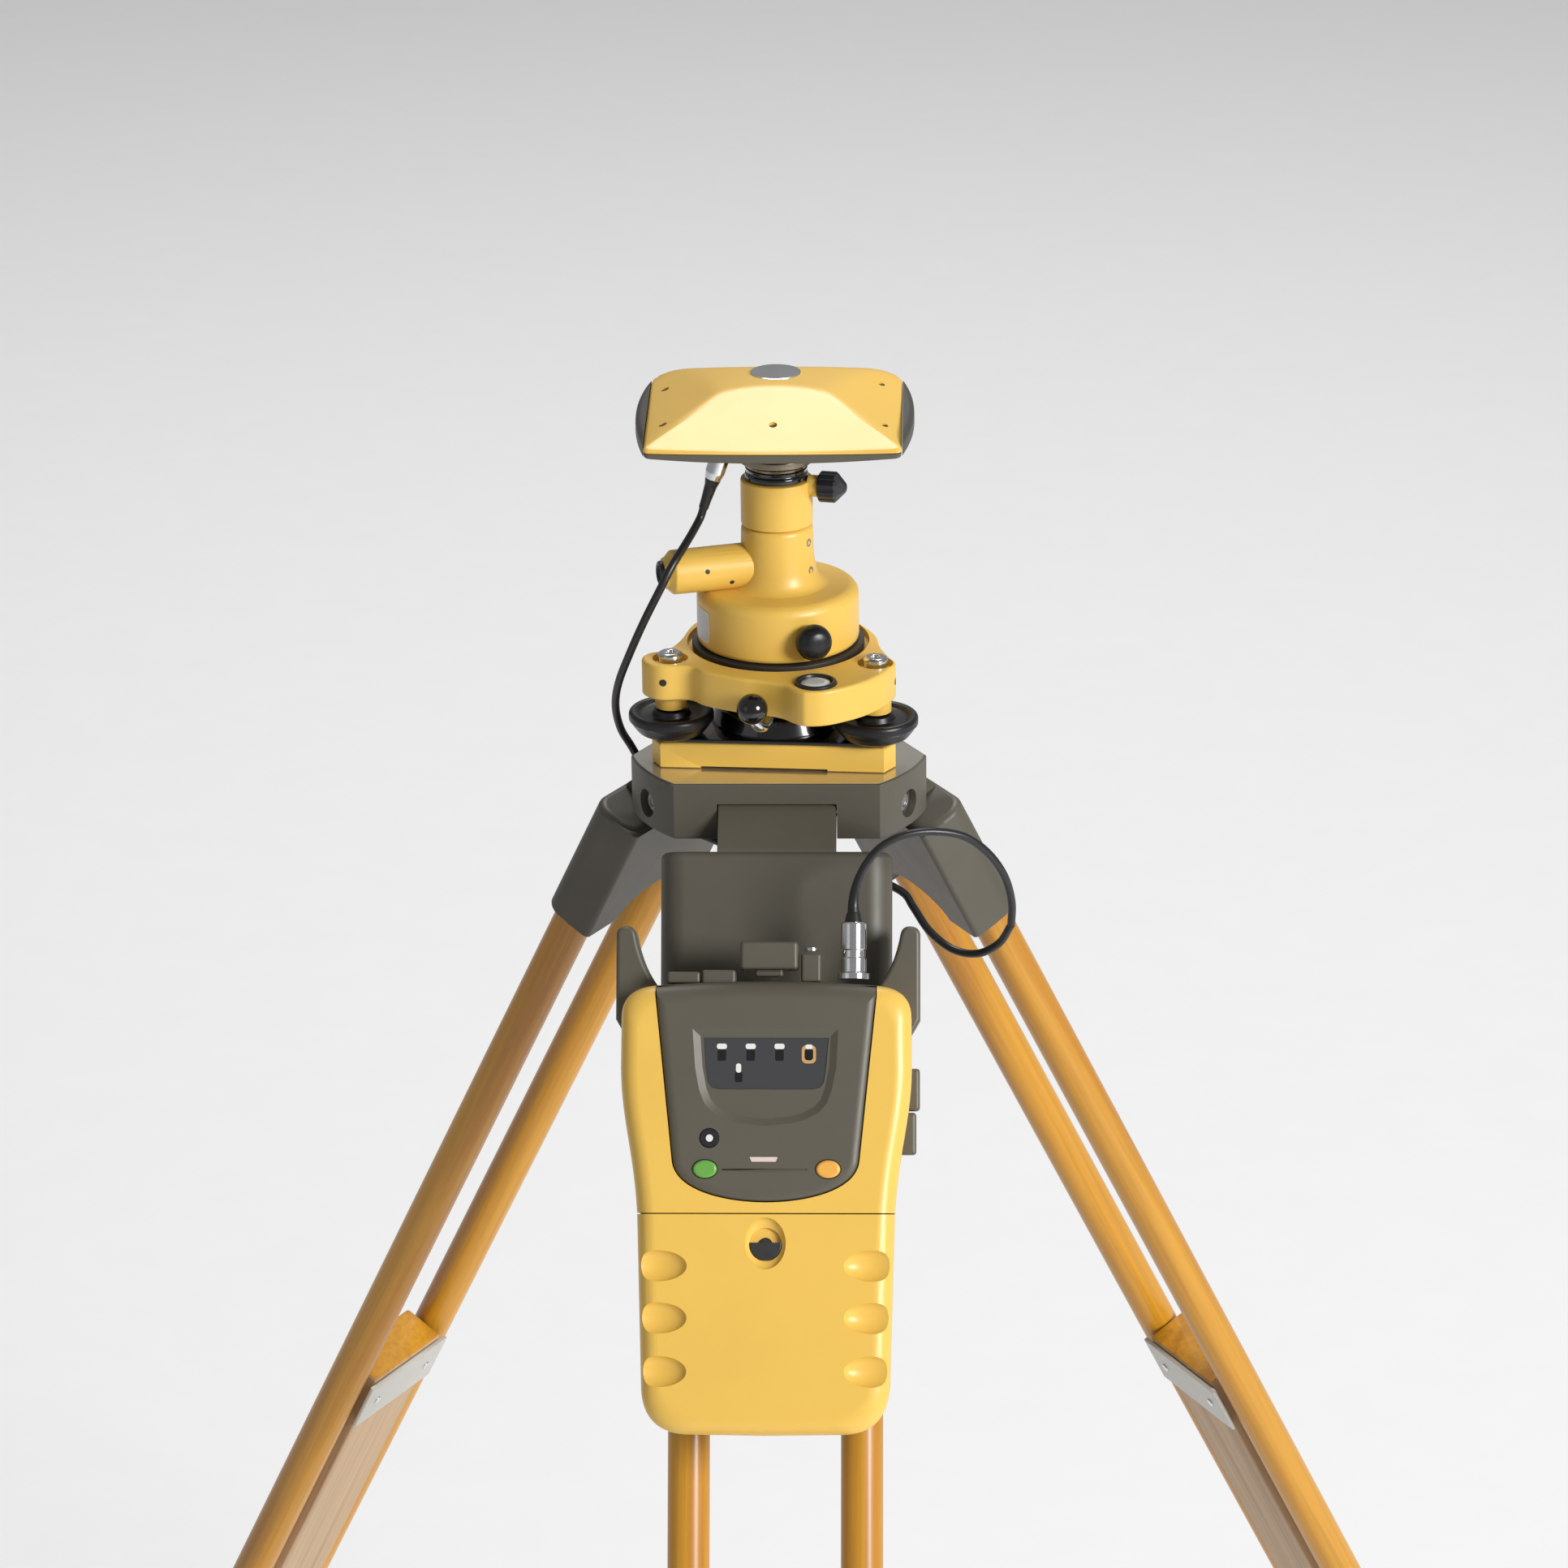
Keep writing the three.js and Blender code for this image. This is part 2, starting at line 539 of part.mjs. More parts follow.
// The cover rises from its rim to a shallow hipped crown.
function coverDome(inset) {
  const rim = slab(antennaPlan(inset), ANTENNA_RIM - 20, ANTENNA_TOP - inset, 0, 5);
  const slope = Math.atan2(ANTENNA_TOP - ANTENNA_RIM - 2.4, 47);
  let crown = rim;
  const faces = [[0, 66.4, slope, 2.4], [180, 66.4, slope, 2.4],
    [90, ANTENNA_HALF, SIDE_SLOPE, 6], [270, ANTENNA_HALF, SIDE_SLOPE, 6]];
  for (const [degrees, reach, tilt, lip] of faces) {
    const above = block([-120, 120], [-200, 200], [0, 60]).rotate([THREE.MathUtils.radToDeg(tilt), 0, 0]);
    const edge = [0, -reach + inset, ANTENNA_RIM + lip - inset];
    crown = crown.subtract(above.translate(edge).rotate([0, 0, degrees]));
  }
  return crown;
}

function antennaCover() {
  const outside = coverDome(0).subtract(block([-90, 90], [-90, 90], [100, ANTENNA_RIM]));
  return outside.subtract(coverDome(2.4));
}

function antennaBoard() {
  const board = block([-45, 45], [-45, 45], [180, 182]);
  const patch = block([-30, 30], [-30, 30], [181, 188]);
  return board.add(patch);
}

function antennaPlug() {
  const profile = [[0, -48], [3.2, -48], [3.8, -34], [5.2, -32], [5.2, -20], [7, -18.5], [7, -3], [5, -1.5],
    [5, 1], [0, 1]];
  return atSocket(turned(profile, 14));
}

function antenna(parent) {
  piece(parent, 'antenna_tray', antennaTray(), OLIVE);
  piece(parent, 'antenna_cover', antennaCover(), YELLOW);
  piece(parent, 'antenna_board', antennaBoard(), CIRCUIT);
  piece(parent, 'antenna_plug', antennaPlug(), STEEL);
}

// ---------------------------------------------------------------- receiver
// Drawn in the front leg's frame, with x measured from the receiver's own middle.
function receiverOutline(inset) {
  const shape = new THREE.Shape();
  const top = -RECEIVER_TOP - inset;
  const end = -RECEIVER_END + inset;
  shape.moveTo(0, end);
  shape.lineTo(44 - inset, end + 0.6);
  shape.quadraticCurveTo(60 - inset, end + 3, 61.6 - inset, end + 22);
  shape.lineTo(64 - inset, -211);
  shape.bezierCurveTo(66 - inset, -180, 72 - inset, -165, 72.4 - inset, -140);
  shape.lineTo(72.2 - inset, top - 18);
  shape.quadraticCurveTo(72 - inset, top - 4, 56 - inset, top - 2.4);
  shape.quadraticCurveTo(0, top + 2, -56 + inset, top - 2.4);
  shape.quadraticCurveTo(-72 + inset, top - 4, -72.2 + inset, top - 18);
  shape.lineTo(-72.4 + inset, -140);
  shape.bezierCurveTo(-72 + inset, -165, -66 + inset, -180, -64 + inset, -211);
  shape.lineTo(-61.6 + inset, end + 22);
  shape.quadraticCurveTo(-60 + inset, end + 3, -44 + inset, end + 0.6);
  return shape;
}

const everyX = [-200, 200];
const everyY = [-200, 200];

function rearShell() {
  let shell = standing(receiverOutline(0.3), RECEIVER_BACK, RECEIVER_SPLIT + 10, 3, 4);
  shell = shell.subtract(block(everyX, [-200, -RECEIVER_SPLIT], [-400, 0]));
  for (const side of [-1, 1]) {
    const horn = new THREE.Shape();
    horn.moveTo(66, -150);
    horn.lineTo(72, -122);
    horn.lineTo(76.6, -114);
    horn.lineTo(76.6, -71);
    horn.quadraticCurveTo(76, -67, 71, -67);
    horn.quadraticCurveTo(67.4, -67.2, 66.6, -71);
    horn.quadraticCurveTo(63.5, -88, 55, -98);
    horn.lineTo(50, -104);
    const ear = standing(horn, RECEIVER_BACK + 4, RECEIVER_SPLIT, 1.4, 3);
    shell = shell.add(side > 0 ? ear : ear.mirror([1, 0, 0]));
  }
  shell = shell.subtract(standing(receiverOutline(SHELL + 0.3), RECEIVER_BACK + SHELL, 200, 0, 4));
  return shell;
}

// Yellow housing, open behind, with a window for the face plate.
function frontShell() {
  let shell = standing(receiverOutline(0), RECEIVER_SPLIT - 20, RECEIVER_FACE, 6, 4);
  const keep = block(everyX, [-200, -RECEIVER_SPLIT - GAP], [-RECEIVER_SEAM + GAP, 0]);
  const hollow = standing(receiverOutline(SHELL), 0, RECEIVER_FACE - SHELL - 1.6, 0, 4);
  const room = hollow.intersect(block(everyX, everyY, [-RECEIVER_SEAM + 2.2, 0]));
  shell = shell.intersect(keep).subtract(room);
  shell = shell.subtract(standing(facePlateOutline(-GAP), RECEIVER_FACE - 9, 200, 0, 5));
  const lip = 54.5 + GAP;
  return shell.subtract(block([-lip, lip], everyY, [-RECEIVER_TOP - SHELL - 0.8, 0]));
}

function facePlateOutline(inset) {
  const shape = new THREE.Shape();
  shape.moveTo(-54.5 + inset, -80);
  shape.lineTo(-54.5 + inset, -104);
  shape.lineTo(-46 + inset, -186);
  shape.bezierCurveTo(-44 + inset, -200 + inset, -20, -205.5 + inset, 0, -205.5 + inset);
  shape.bezierCurveTo(20, -205.5 + inset, 44 - inset, -200 + inset, 46 - inset, -186);
  shape.lineTo(54.5 - inset, -104);
  shape.lineTo(54.5 - inset, -80);
  return shape;
}

function facePlate() {
  let plate = standing(facePlateOutline(0), RECEIVER_FACE - 4.2, RECEIVER_FACE + 1.2, 0, 5);
  plate = plate.intersect(standing(receiverOutline(0), 50, RECEIVER_FACE + 1.2, 4, 4));
  const roof = block([-54.5, 54.5], [-RECEIVER_FACE + 2, -RECEIVER_SPLIT - GAP], [-RECEIVER_TOP - SHELL, 0]);
  plate = plate.add(roof.intersect(standing(receiverOutline(0), 50, RECEIVER_FACE + 1.2, 4, 4)));
  const recess = new THREE.Shape();
  recess.moveTo(-36, -120.4);
  recess.bezierCurveTo(-34.5, -158, -30, -167.5, 0, -168.2);
  recess.bezierCurveTo(30, -167.5, 34.5, -158, 36, -120.4);
  plate = plate.subtract(standing(recess, RECEIVER_FACE - 0.6, 200, 0, 8));
  const display = polygon([[-30.8, -124.6], [-27, -150], [27, -150], [30.8, -124.6]]);
  plate = plate.subtract(standing(display, RECEIVER_FACE - 2, 200));
  for (const x of [-30, 31]) {
    plate = plate.subtract(standing(oval(x, KEY_DOWN, 6.5, 4.9), RECEIVER_FACE - 20, 200, 0, 8));
  }
  return plate;
}

function keyButton(x) {
  return standing(oval(x, KEY_DOWN, 6.1, 4.5), RECEIVER_FACE - 6.5, RECEIVER_FACE + 2.6, 0.9, 6);
}

// The lower part of the housing comes off to change the battery.
function batteryCover() {
  let cover = standing(receiverOutline(0), RECEIVER_SPLIT - 20, RECEIVER_FACE, 6, 4);
  cover = cover.intersect(block(everyX, [-200, -RECEIVER_SPLIT - GAP], [-400, -RECEIVER_SEAM - GAP]));
  const hollow = standing(receiverOutline(SHELL), 0, RECEIVER_FACE - SHELL - 3, 0, 4);
  cover = cover.subtract(hollow.intersect(block(everyX, everyY, [-400, -RECEIVER_SEAM - 2.2])));
  for (const side of [-1, 1]) {
    for (const down of [237.3, 263, 289.3]) {
      const scoop = toSolid(new THREE.SphereGeometry(1, 10, 6)).scale([13, 4.6, 7.9]);
      cover = cover.subtract(scoop.translate([side * 50.5, -RECEIVER_FACE, -down]));
    }
  }
  const bowl = toSolid(new THREE.SphereGeometry(1, 16, 8)).scale([10, 5, 12.6]);
  cover = cover.subtract(bowl.translate([0, -RECEIVER_FACE, LATCH_DOWN + 0.6]));
  const well = standing(oval(0, LATCH_DOWN, 8.2, 8.2), RECEIVER_FACE - 5.2, 200, 0, 6);
  return cover.subtract(well).subtract(standing(oval(0, LATCH_DOWN, 3.4, 3.4), RECEIVER_FACE - 20, 200));
}

// A half-moon tab on a shaft through the cover.
function batteryLatch() {
  const tab = standing(oval(0, LATCH_DOWN, 7.8, 7.8), RECEIVER_FACE - 4.9, RECEIVER_FACE - 2.6, 0, 6);
  const lower = block(everyX, everyY, [-400, LATCH_DOWN + 1]);
  const shaft = standing(oval(0, LATCH_DOWN, 3, 3), RECEIVER_FACE - 10, RECEIVER_FACE - 3.2);
  return tab.intersect(lower).add(shaft);
}

function receiver(parent) {
  const frame = frameGroup(parent, RECEIVER_SHIFT, 0, 0);
  piece(frame, 'rear_shell', rearShell(), OLIVE);
  piece(frame, 'front_shell', frontShell(), YELLOW);
  piece(frame, 'face_plate', facePlate(), OLIVE);
  piece(frame, 'power_button', keyButton(-30), GREEN);
  piece(frame, 'function_button', keyButton(31), ORANGE);
  piece(frame, 'battery_cover', batteryCover(), YELLOW);
  piece(frame, 'battery_latch', batteryLatch(), STEEL);
  piece(frame, 'battery', block([-48, 48], [-84, -42], [-312, -240]), CELL);
  piece(frame, 'main_board', block([-56, 56], [-66, -64], [-205, -112]), CIRCUIT);
  piece(frame, 'leg_bracket', legBracket(), STEEL);
  piece(frame, 'port_cap', portCap(), BLACK);
  piece(frame, 'receiver_plug', receiverPlug(), STEEL);
}

// A plate behind the receiver with an arm that hooks over each dowel from outside.
function legBracket() {
  const middle = -RECEIVER_SHIFT;
  let bracket = standing(rounded(-60 + middle, 60 + middle, -190, -140, 6), 31.4, RECEIVER_BACK - GAP, 0, 4);
  for (const side of [-1, 1]) {
    const x = middle + (side * DOWEL_SPACING) / 2;
    const hook = rod(14.2, -182, -148, 20).subtract(rod(DOWEL_RADIUS + GAP, -190, -140, 20));
    const outside = side > 0 ? [0, 20] : [-20, 0];
    const arm = hook.intersect(block(outside, [-20, 12], [-200, -100])).translate([x, -DOWEL_OUT, 0]);
    bracket = bracket.add(arm);
  }
  return bracket;
}

// Rubber cover over the data ports, hinged at its rear edge.
function portCap() {
  const lid = block([-14, 15.6], [-84, -62], [-90, -76]);
  return lid.add(block([-6, 8], [-78, -68], [-93.4, -88]));
}

function receiverPlug() {
  const profile = [[0, -94.6], [8, -94.6], [8, -91.4], [6.4, -91], [6.4, -66], [3.2, -63.4], [0, -63.4]];
  return turned(profile, 16).translate([40.2 - RECEIVER_SHIFT, -73, 0]);
}

// ---------------------------------------------------------------- antenna cable
// Both runs are drawn about the plumb axis with z = 0 on the head's top.
const UPPER_RUN = [[-37.6, 0.1, 129.6], [-39.4, -0.4, 124.2], [-43.4, -9.5, 118.9], [-48.4, -22, 113.8],
  [-53.4, -30, 107.4], [-59.4, -34.4, 96.5], [-67, -34, 81], [-75, -30, 62], [-82, -22, 42], [-84.5, -12, 25],
  [-82.6, -3, 9], [-77.5, 2, -3], [-73, 2.5, -13], [-71.6, 2.2, -23], [-68.5, 0.5, -32], [-60, -6, -39.5],
  [-48, -14, -43], [-32, -24, -46], [-10, -31, -51], [14, -34, -55], [40, -36, -58], [63, -42, -66],
  [70, -48, -73], [78, -57, -82], [90, -65, -89], [103, -73, -88], [114, -80, -79], [120, -86, -66]];
const LOWER_RUN = [[120.2, -86.6, -64.4], [120, -91, -51], [116, -97, -34], [107, -104, -18], [95, -110, -7],
  [80, -116, -2], [66, -121, -2], [54, -125.5, -7], [45, -129.5, -18], [41, -132.6, -31], [40, -134, -38]];

function cable(parent) {
  piece(parent, 'cable_upper', tube(UPPER_RUN, CABLE_RADIUS, 8, 40), BLACK);
  piece(parent, 'cable_lower', tube(LOWER_RUN, CABLE_RADIUS, 8, 20), BLACK);
}

// ---------------------------------------------------------------- assembly
const head = frameGroup(group, 0, PLUMB_Y, HEAD_Z);
piece(head, 'tripod_head', tripodHead(), OLIVE);
piece(head, 'centre_screw', centreScrew(), BLACK);
const frames = LEGS.map(([name, degrees]) => leg(head, name, degrees));
receiver(frames[0]);
tribrach(head);
adapter(head);
antenna(head);
cable(head);

export default group;
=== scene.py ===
"""Satellite surveying base station on a wooden tripod, with the receiver hung on the front leg.

Shapes are drawn in millimetres, each in its own local frame, and placed in the row frame in metres.
"""
import math

import bmesh
import bpy
from mathutils import Matrix, Vector


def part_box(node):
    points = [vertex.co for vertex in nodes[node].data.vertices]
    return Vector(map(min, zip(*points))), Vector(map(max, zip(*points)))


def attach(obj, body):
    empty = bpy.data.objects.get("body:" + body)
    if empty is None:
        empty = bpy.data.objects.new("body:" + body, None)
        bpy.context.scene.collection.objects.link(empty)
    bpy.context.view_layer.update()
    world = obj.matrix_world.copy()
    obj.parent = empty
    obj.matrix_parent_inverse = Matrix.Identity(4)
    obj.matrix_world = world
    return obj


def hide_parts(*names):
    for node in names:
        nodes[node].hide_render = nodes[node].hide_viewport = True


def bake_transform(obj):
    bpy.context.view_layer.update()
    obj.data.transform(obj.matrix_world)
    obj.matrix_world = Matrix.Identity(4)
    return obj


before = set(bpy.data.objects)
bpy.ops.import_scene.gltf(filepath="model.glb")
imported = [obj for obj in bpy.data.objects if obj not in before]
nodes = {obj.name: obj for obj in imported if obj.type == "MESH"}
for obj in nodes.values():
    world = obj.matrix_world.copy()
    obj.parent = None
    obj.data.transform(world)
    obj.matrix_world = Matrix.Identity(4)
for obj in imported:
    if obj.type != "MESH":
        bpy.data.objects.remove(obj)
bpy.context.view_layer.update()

# ---------------------------------------------------------------- frames
MM = 0.001
LEG_TILT = 27.2
HEAD_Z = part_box("tripod_head")[1].z / MM
PLUMB_Y = (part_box("adapter_ring")[0].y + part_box("adapter_ring")[1].y) / 2 / MM
HINGE_RADIUS = 38
HINGE_DROP = 19
DOWEL_OFFSET = 43.95
DOWEL_OUT = 18
RECEIVER_SHIFT = -3


def turn(degrees, axis):
    return Matrix.Rotation(math.radians(degrees), 4, axis)


def move(x, y, z):
    return Matrix.Translation((x, y, z))


TO_METRES = Matrix.Scale(MM, 4)
HEAD = TO_METRES @ move(0, PLUMB_Y, HEAD_Z)
TRIBRACH = HEAD @ turn(-4, "Z")
LEGS = {"front": 0, "right": 120, "left": 240}


def hinge_frame(name):
    return HEAD @ turn(LEGS[name], "Z") @ move(0, -HINGE_RADIUS, -HINGE_DROP)


def leg_frame(name):
    """Origin on the leg's hinge, +X across the leg, -Y out of its front face, -Z down the leg."""
    return hinge_frame(name) @ turn(-LEG_TILT, "X")


RECEIVER = leg_frame("front") @ move(RECEIVER_SHIFT, 0, 0)


def radial(azimuth, height):
    """Local +Z becomes the horizontal direction at that azimuth, at that height above the head."""
    return move(0, 0, height) @ turn(azimuth, "Z") @ turn(90, "Y")


# ---------------------------------------------------------------- outlines
class Outline:
    """A closed 2-D outline made of lines and curves."""

    def __init__(self, x, y):
        self.points = [(x, y)]

    def line(self, x, y):
        self.points.append((x, y))
        return self

    def cubic(self, x1, y1, x2, y2, x3, y3, steps=12):
        x0, y0 = self.points[-1]
        for k in range(1, steps + 1):
            t = k / steps
            a, b, c, d = (1 - t) ** 3, 3 * t * (1 - t) ** 2, 3 * t * t * (1 - t), t ** 3
            self.points.append((a * x0 + b * x1 + c * x2 + d * x3, a * y0 + b * y1 + c * y2 + d * y3))
        return self

    def quad(self, x1, y1, x2, y2, steps=8):
        x0, y0 = self.points[-1]
        first = (x0 + 2 * (x1 - x0) / 3, y0 + 2 * (y1 - y0) / 3)
        second = (x2 + 2 * (x1 - x2) / 3, y2 + 2 * (y1 - y2) / 3)
        return self.cubic(*first, *second, x2, y2, steps=steps)

    def arc(self, x, y, radius, start, end, steps=12):
        for k in range(steps + 1):
            angle = math.radians(start + (end - start) * k / steps)
            self.points.append((x + radius * math.cos(angle), y + radius * math.sin(angle)))
        return self

    def close(self):
        """The points, with no two neighbours in the same place."""
        kept = []
        for point in self.points:
            if not kept or math.dist(point, kept[-1]) > 0.02:
                kept.append(point)
        while math.dist(kept[0], kept[-1]) < 0.02:
            kept.pop()
        return kept


def rounded(x0, x1, y0, y1, radius, steps=8):
    outline = Outline(x0 + radius, y0)
    outline.arc(x1 - radius, y0 + radius, radius, -90, 0, steps)
    outline.arc(x1 - radius, y1 - radius, radius, 0, 90, steps)
    outline.arc(x0 + radius, y1 - radius, radius, 90, 180, steps)
    outline.arc(x0 + radius, y0 + radius, radius, 180, 270, steps)
    return outline.close()


def ellipse(x, y, rx, ry, steps=36):
    angles = [2 * math.pi * k / steps for k in range(steps)]
    return [(x + rx * math.cos(a), y + ry * math.sin(a)) for a in angles]


def catmull_rom(p0, p1, p2, p3, t):
    return 0.5 * (2 * p1 + (p2 - p0) * t + (2 * p0 - 5 * p1 + 4 * p2 - p3) * t * t
                  + (3 * p1 - p0 - 3 * p2 + p3) * t ** 3)


def octagon(radius):
    angles = [math.radians(a + 22.5) for a in range(0, 360, 45)]
    return [(radius * math.cos(a), radius * math.sin(a)) for a in angles]


def smooth_loop(points, steps):
    """A closed curve through the points."""
    out = []
    count = len(points)
    for i in range(count):
        four = [Vector(points[(i + k) % count]) for k in (-1, 0, 1, 2)]
        out += [tuple(catmull_rom(*four, k / steps)) for k in range(steps)]
    return out


def inset(points, distance):
    """The outline moved inwards, for an outline that runs anticlockwise."""
    out = []
    count = len(points)
    for i in range(count):
        a, b, c = (Vector(points[(i + k) % count]) for k in (-1, 0, 1))
        first = (b - a).normalized()
        second = (c - b).normalized()
        n1 = Vector((-first.y, first.x))
        n2 = Vector((-second.y, second.x))
        middle = n1 + n2
        if middle.length < 1e-6:
            middle = n1
        middle.normalize()
        out.append(tuple(b + middle * distance / max(0.4, middle.dot(n1))))
    return out


def anticlockwise(points):
    pairs = zip(points, points[1:] + points[:1])
    area = sum(a[0] * b[1] - b[0] * a[1] for a, b in pairs)
    return points if area > 0 else points[::-1]


# ---------------------------------------------------------------- meshes
def link(obj):
    bpy.context.scene.collection.objects.link(obj)
    return obj


def mesh_object(vertices, faces):
    mesh = bpy.data.meshes.new("piece")
    mesh.from_pydata([tuple(v) for v in vertices], [], faces)
    builder = bmesh.new()
    builder.from_mesh(mesh)
    bmesh.ops.recalc_face_normals(builder, faces=builder.faces)
    builder.to_mesh(mesh)
    builder.free()
    return link(bpy.data.objects.new("piece", mesh))


def skin(rings):
    """The four-sided faces between rings of equally many points."""
    count = len(rings[0])
    faces = []
    for r in range(len(rings) - 1):
        for k in range(count):
            j = (k + 1) % count
            faces.append([r * count + k, r * count + j, (r + 1) * count + j, (r + 1) * count + k])
    return faces


def loft(rings):
    """A closed solid over rings of equally many points, with a flat face at each end."""
    count = len(rings[0])
    vertices = [p for ring in rings for p in ring]
    ends = [list(range(count))[::-1], [len(vertices) - count + k for k in range(count)]]
    return mesh_object(vertices, ends + skin(rings))


def rounding(radius, steps):
    """(inset, depth) pairs round a quarter circle, from the end face to the side."""
    if radius <= 0:
        return [(0, 0)]
    angles = [math.pi / 2 * k / steps for k in range(steps + 1)]
    return [(radius * (1 - math.sin(a)), radius * (1 - math.cos(a))) for a in angles]


def prism(points, z0, z1, low=0, high=0, steps=3, shrink=None):
    """An outline raised from z0 to z1, its edges rounded. shrink(distance) gives a smaller outline."""
    points = anticlockwise(points)
    smaller = shrink or (lambda d: inset(points, d))
    rings = []
    for distance, depth in rounding(low, steps):
        rings.append([(x, y, z0 + depth) for x, y in smaller(distance)])
    for distance, depth in reversed(rounding(high, steps)):
        rings.append([(x, y, z1 - depth) for x, y in smaller(distance)])
    return loft(rings)


def soften(profile, radius, steps=3):
    """The profile with each inner corner replaced by a small curve."""
    out = [Vector(profile[0])]
    for a, b, c in zip(profile, profile[1:], profile[2:]):
        a, b, c = Vector(a), Vector(b), Vector(c)
        reach = min(radius, (a - b).length * 0.45, (c - b).length * 0.45)
        start = b + (a - b).normalized() * reach
        end = b + (c - b).normalized() * reach
        for k in range(steps + 1):
            t = k / steps
            out.append((1 - t) ** 2 * start + 2 * t * (1 - t) * b + t * t * end)
    out.append(Vector(profile[-1]))
    return [tuple(p) for p in out]


def turned(profile, sides=64, soft=0.4):
    """A solid of revolution about Z. A (radius, z) profile that stops off the axis is closed square to it."""
    (first, bottom), (last, top) = profile[0], profile[-1]
    profile = [(0, bottom)] * (first > 1e-6) + profile + [(0, top)] * (last > 1e-6)
    points = soften(profile, soft) if soft else profile
    vertices = [(0, 0, points[0][1])]
    for radius, z in points[1:-1]:
        for k in range(sides):
            a = 2 * math.pi * k / sides
            vertices.append((radius * math.cos(a), radius * math.sin(a), z))
    vertices.append((0, 0, points[-1][1]))
    tip = len(vertices) - 1
    rings = len(points) - 2
    faces = []
    for k in range(sides):
        j = (k + 1) % sides
        faces.append([0, 1 + k, 1 + j])
        faces.append([tip, tip - sides + j, tip - sides + k])
        for r in range(rings - 1):
            base = 1 + r * sides
            faces.append([base + k, base + j, base + sides + j, base + sides + k])
    return mesh_object(vertices, faces)


def rod(radius, z0, z1, sides=40, soft=0, end=None):
    end = radius if end is None else end
    return turned([(radius, z0), (end, z1)], sides, soft)


def ball(radius, sides=40):
    angles = [math.pi * k / (sides // 2) for k in range(sides // 2 + 1)]
    profile = [(radius * math.sin(a), -radius * math.cos(a)) for a in angles]
    return turned(profile, sides, 0)


def block(x, y, z, edge=0):
    if edge:
        return prism(rounded(x[0], x[1], y[0], y[1], edge + 0.35, 4), z[0], z[1], edge, edge)
    return prism([(x[0], y[0]), (x[1], y[0]), (x[1], y[1]), (x[0], y[1])], z[0], z[1])


def standing(points, v0, v1, low=0, high=0, steps=3, shrink=None):
    """A prism whose outline is drawn in X and Z, raised along -Y from y = -v0 to y = -v1."""
    return place(prism(points, v0, v1, low, high, steps, shrink), turn(90, "X"))


def spline(points, steps):
    """Points along a smooth open curve through the given ones, with steps of them in each stretch."""
    points = [Vector(p) for p in points]
    ends = [2 * points[0] - points[1], *points, 2 * points[-1] - points[-2]]
    out = []
    for i in range(len(points) - 1):
        out += [catmull_rom(*ends[i:i + 4], k / steps) for k in range(steps)]
    return out + [points[-1]]


def tube(path, radius, sides=16, end=None):
    """A round tube along the path, which carries its frame along untwisted and may taper to its end."""
    path = [Vector(p) for p in path]
    last = len(path) - 1
    end = radius if end is None else end
    radii = [radius + (end - radius) * i / last for i in range(last + 1)]
    tangents = [(path[min(i + 1, last)] - path[max(i - 1, 0)]).normalized() for i in range(last + 1)]
    across = tangents[0].orthogonal().normalized()
    rings = []
    for point, tangent, reach in zip(path, tangents, radii):
        across = (across - tangent * across.dot(tangent)).normalized()
        other = tangent.cross(across)
        angles = [2 * math.pi * k / sides for k in range(sides)]
        rings.append([point + (across * math.cos(a) + other * math.sin(a)) * reach for a in angles])
    return loft(rings)


# Local X, Y and Z become -Y, Z and X: an outline drawn as depth and height, raised across the leg.
ACROSS = Matrix(((0, 0, 1, 0), (-1, 0, 0, 0), (0, 1, 0, 0), (0, 0, 0, 1)))


def place(obj, matrix):
    obj.data.transform(matrix)
    if matrix.determinant() < 0:
        obj.data.flip_normals()
    return obj


def bake(obj):
    graph = bpy.context.evaluated_depsgraph_get()
    mesh = bpy.data.meshes.new_from_object(obj.evaluated_get(graph))
    old = obj.data
    obj.modifiers.clear()
    obj.data = mesh
    bpy.data.meshes.remove(old)


def combine(obj, other, operation):
    modifier = obj.modifiers.new("boolean", "BOOLEAN")
    modifier.operation = operation
    modifier.solver = "EXACT"
    modifier.object = other
    bake(obj)
    bpy.data.objects.remove(other)
    return obj


def cut(obj, *tools):
    for tool in tools:
        combine(obj, tool, "DIFFERENCE")
    return obj


def fuse(obj, *others):
    for other in others:
        combine(obj, other, "UNION")
    return obj


def common(obj, other):
    return combine(obj, other, "INTERSECT")


def bevel(obj, width, segments=2, angle=40):
    modifier = obj.modifiers.new("bevel", "BEVEL")
    modifier.width = width
    modifier.segments = segments
    modifier.limit_method = "ANGLE"
    modifier.angle_limit = math.radians(angle)
    modifier.miter_outer = "MITER_ARC"
    bake(obj)
    return obj


def join(obj, *others):
    """One object made of several separate shells."""
    builder = bmesh.new()
    builder.from_mesh(obj.data)
    for other in others:
        builder.from_mesh(other.data)
        bpy.data.objects.remove(other)
    builder.to_mesh(obj.data)
    builder.free()
    return obj


def make(name, obj, matrix, body, material, replaces=(), sharp=40):
    """Names a finished shape, places it in the row frame, and gives it its body and material."""
    place(obj, matrix)
    obj.name = name
    obj.data.name = name
    obj.data.polygons.foreach_set("use_smooth", [True] * len(obj.data.polygons))
    obj.data.set_sharp_from_angle(angle=math.radians(sharp))
    weighted = obj.modifiers.new("weighted", "WEIGHTED_NORMAL")
    weighted.keep_sharp = True
    bake(obj)
    obj.data.name = name
    obj.data.materials.clear()
    obj.data.materials.append(material)
    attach(obj, body)
    if replaces:
        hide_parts(*replaces)
    return obj


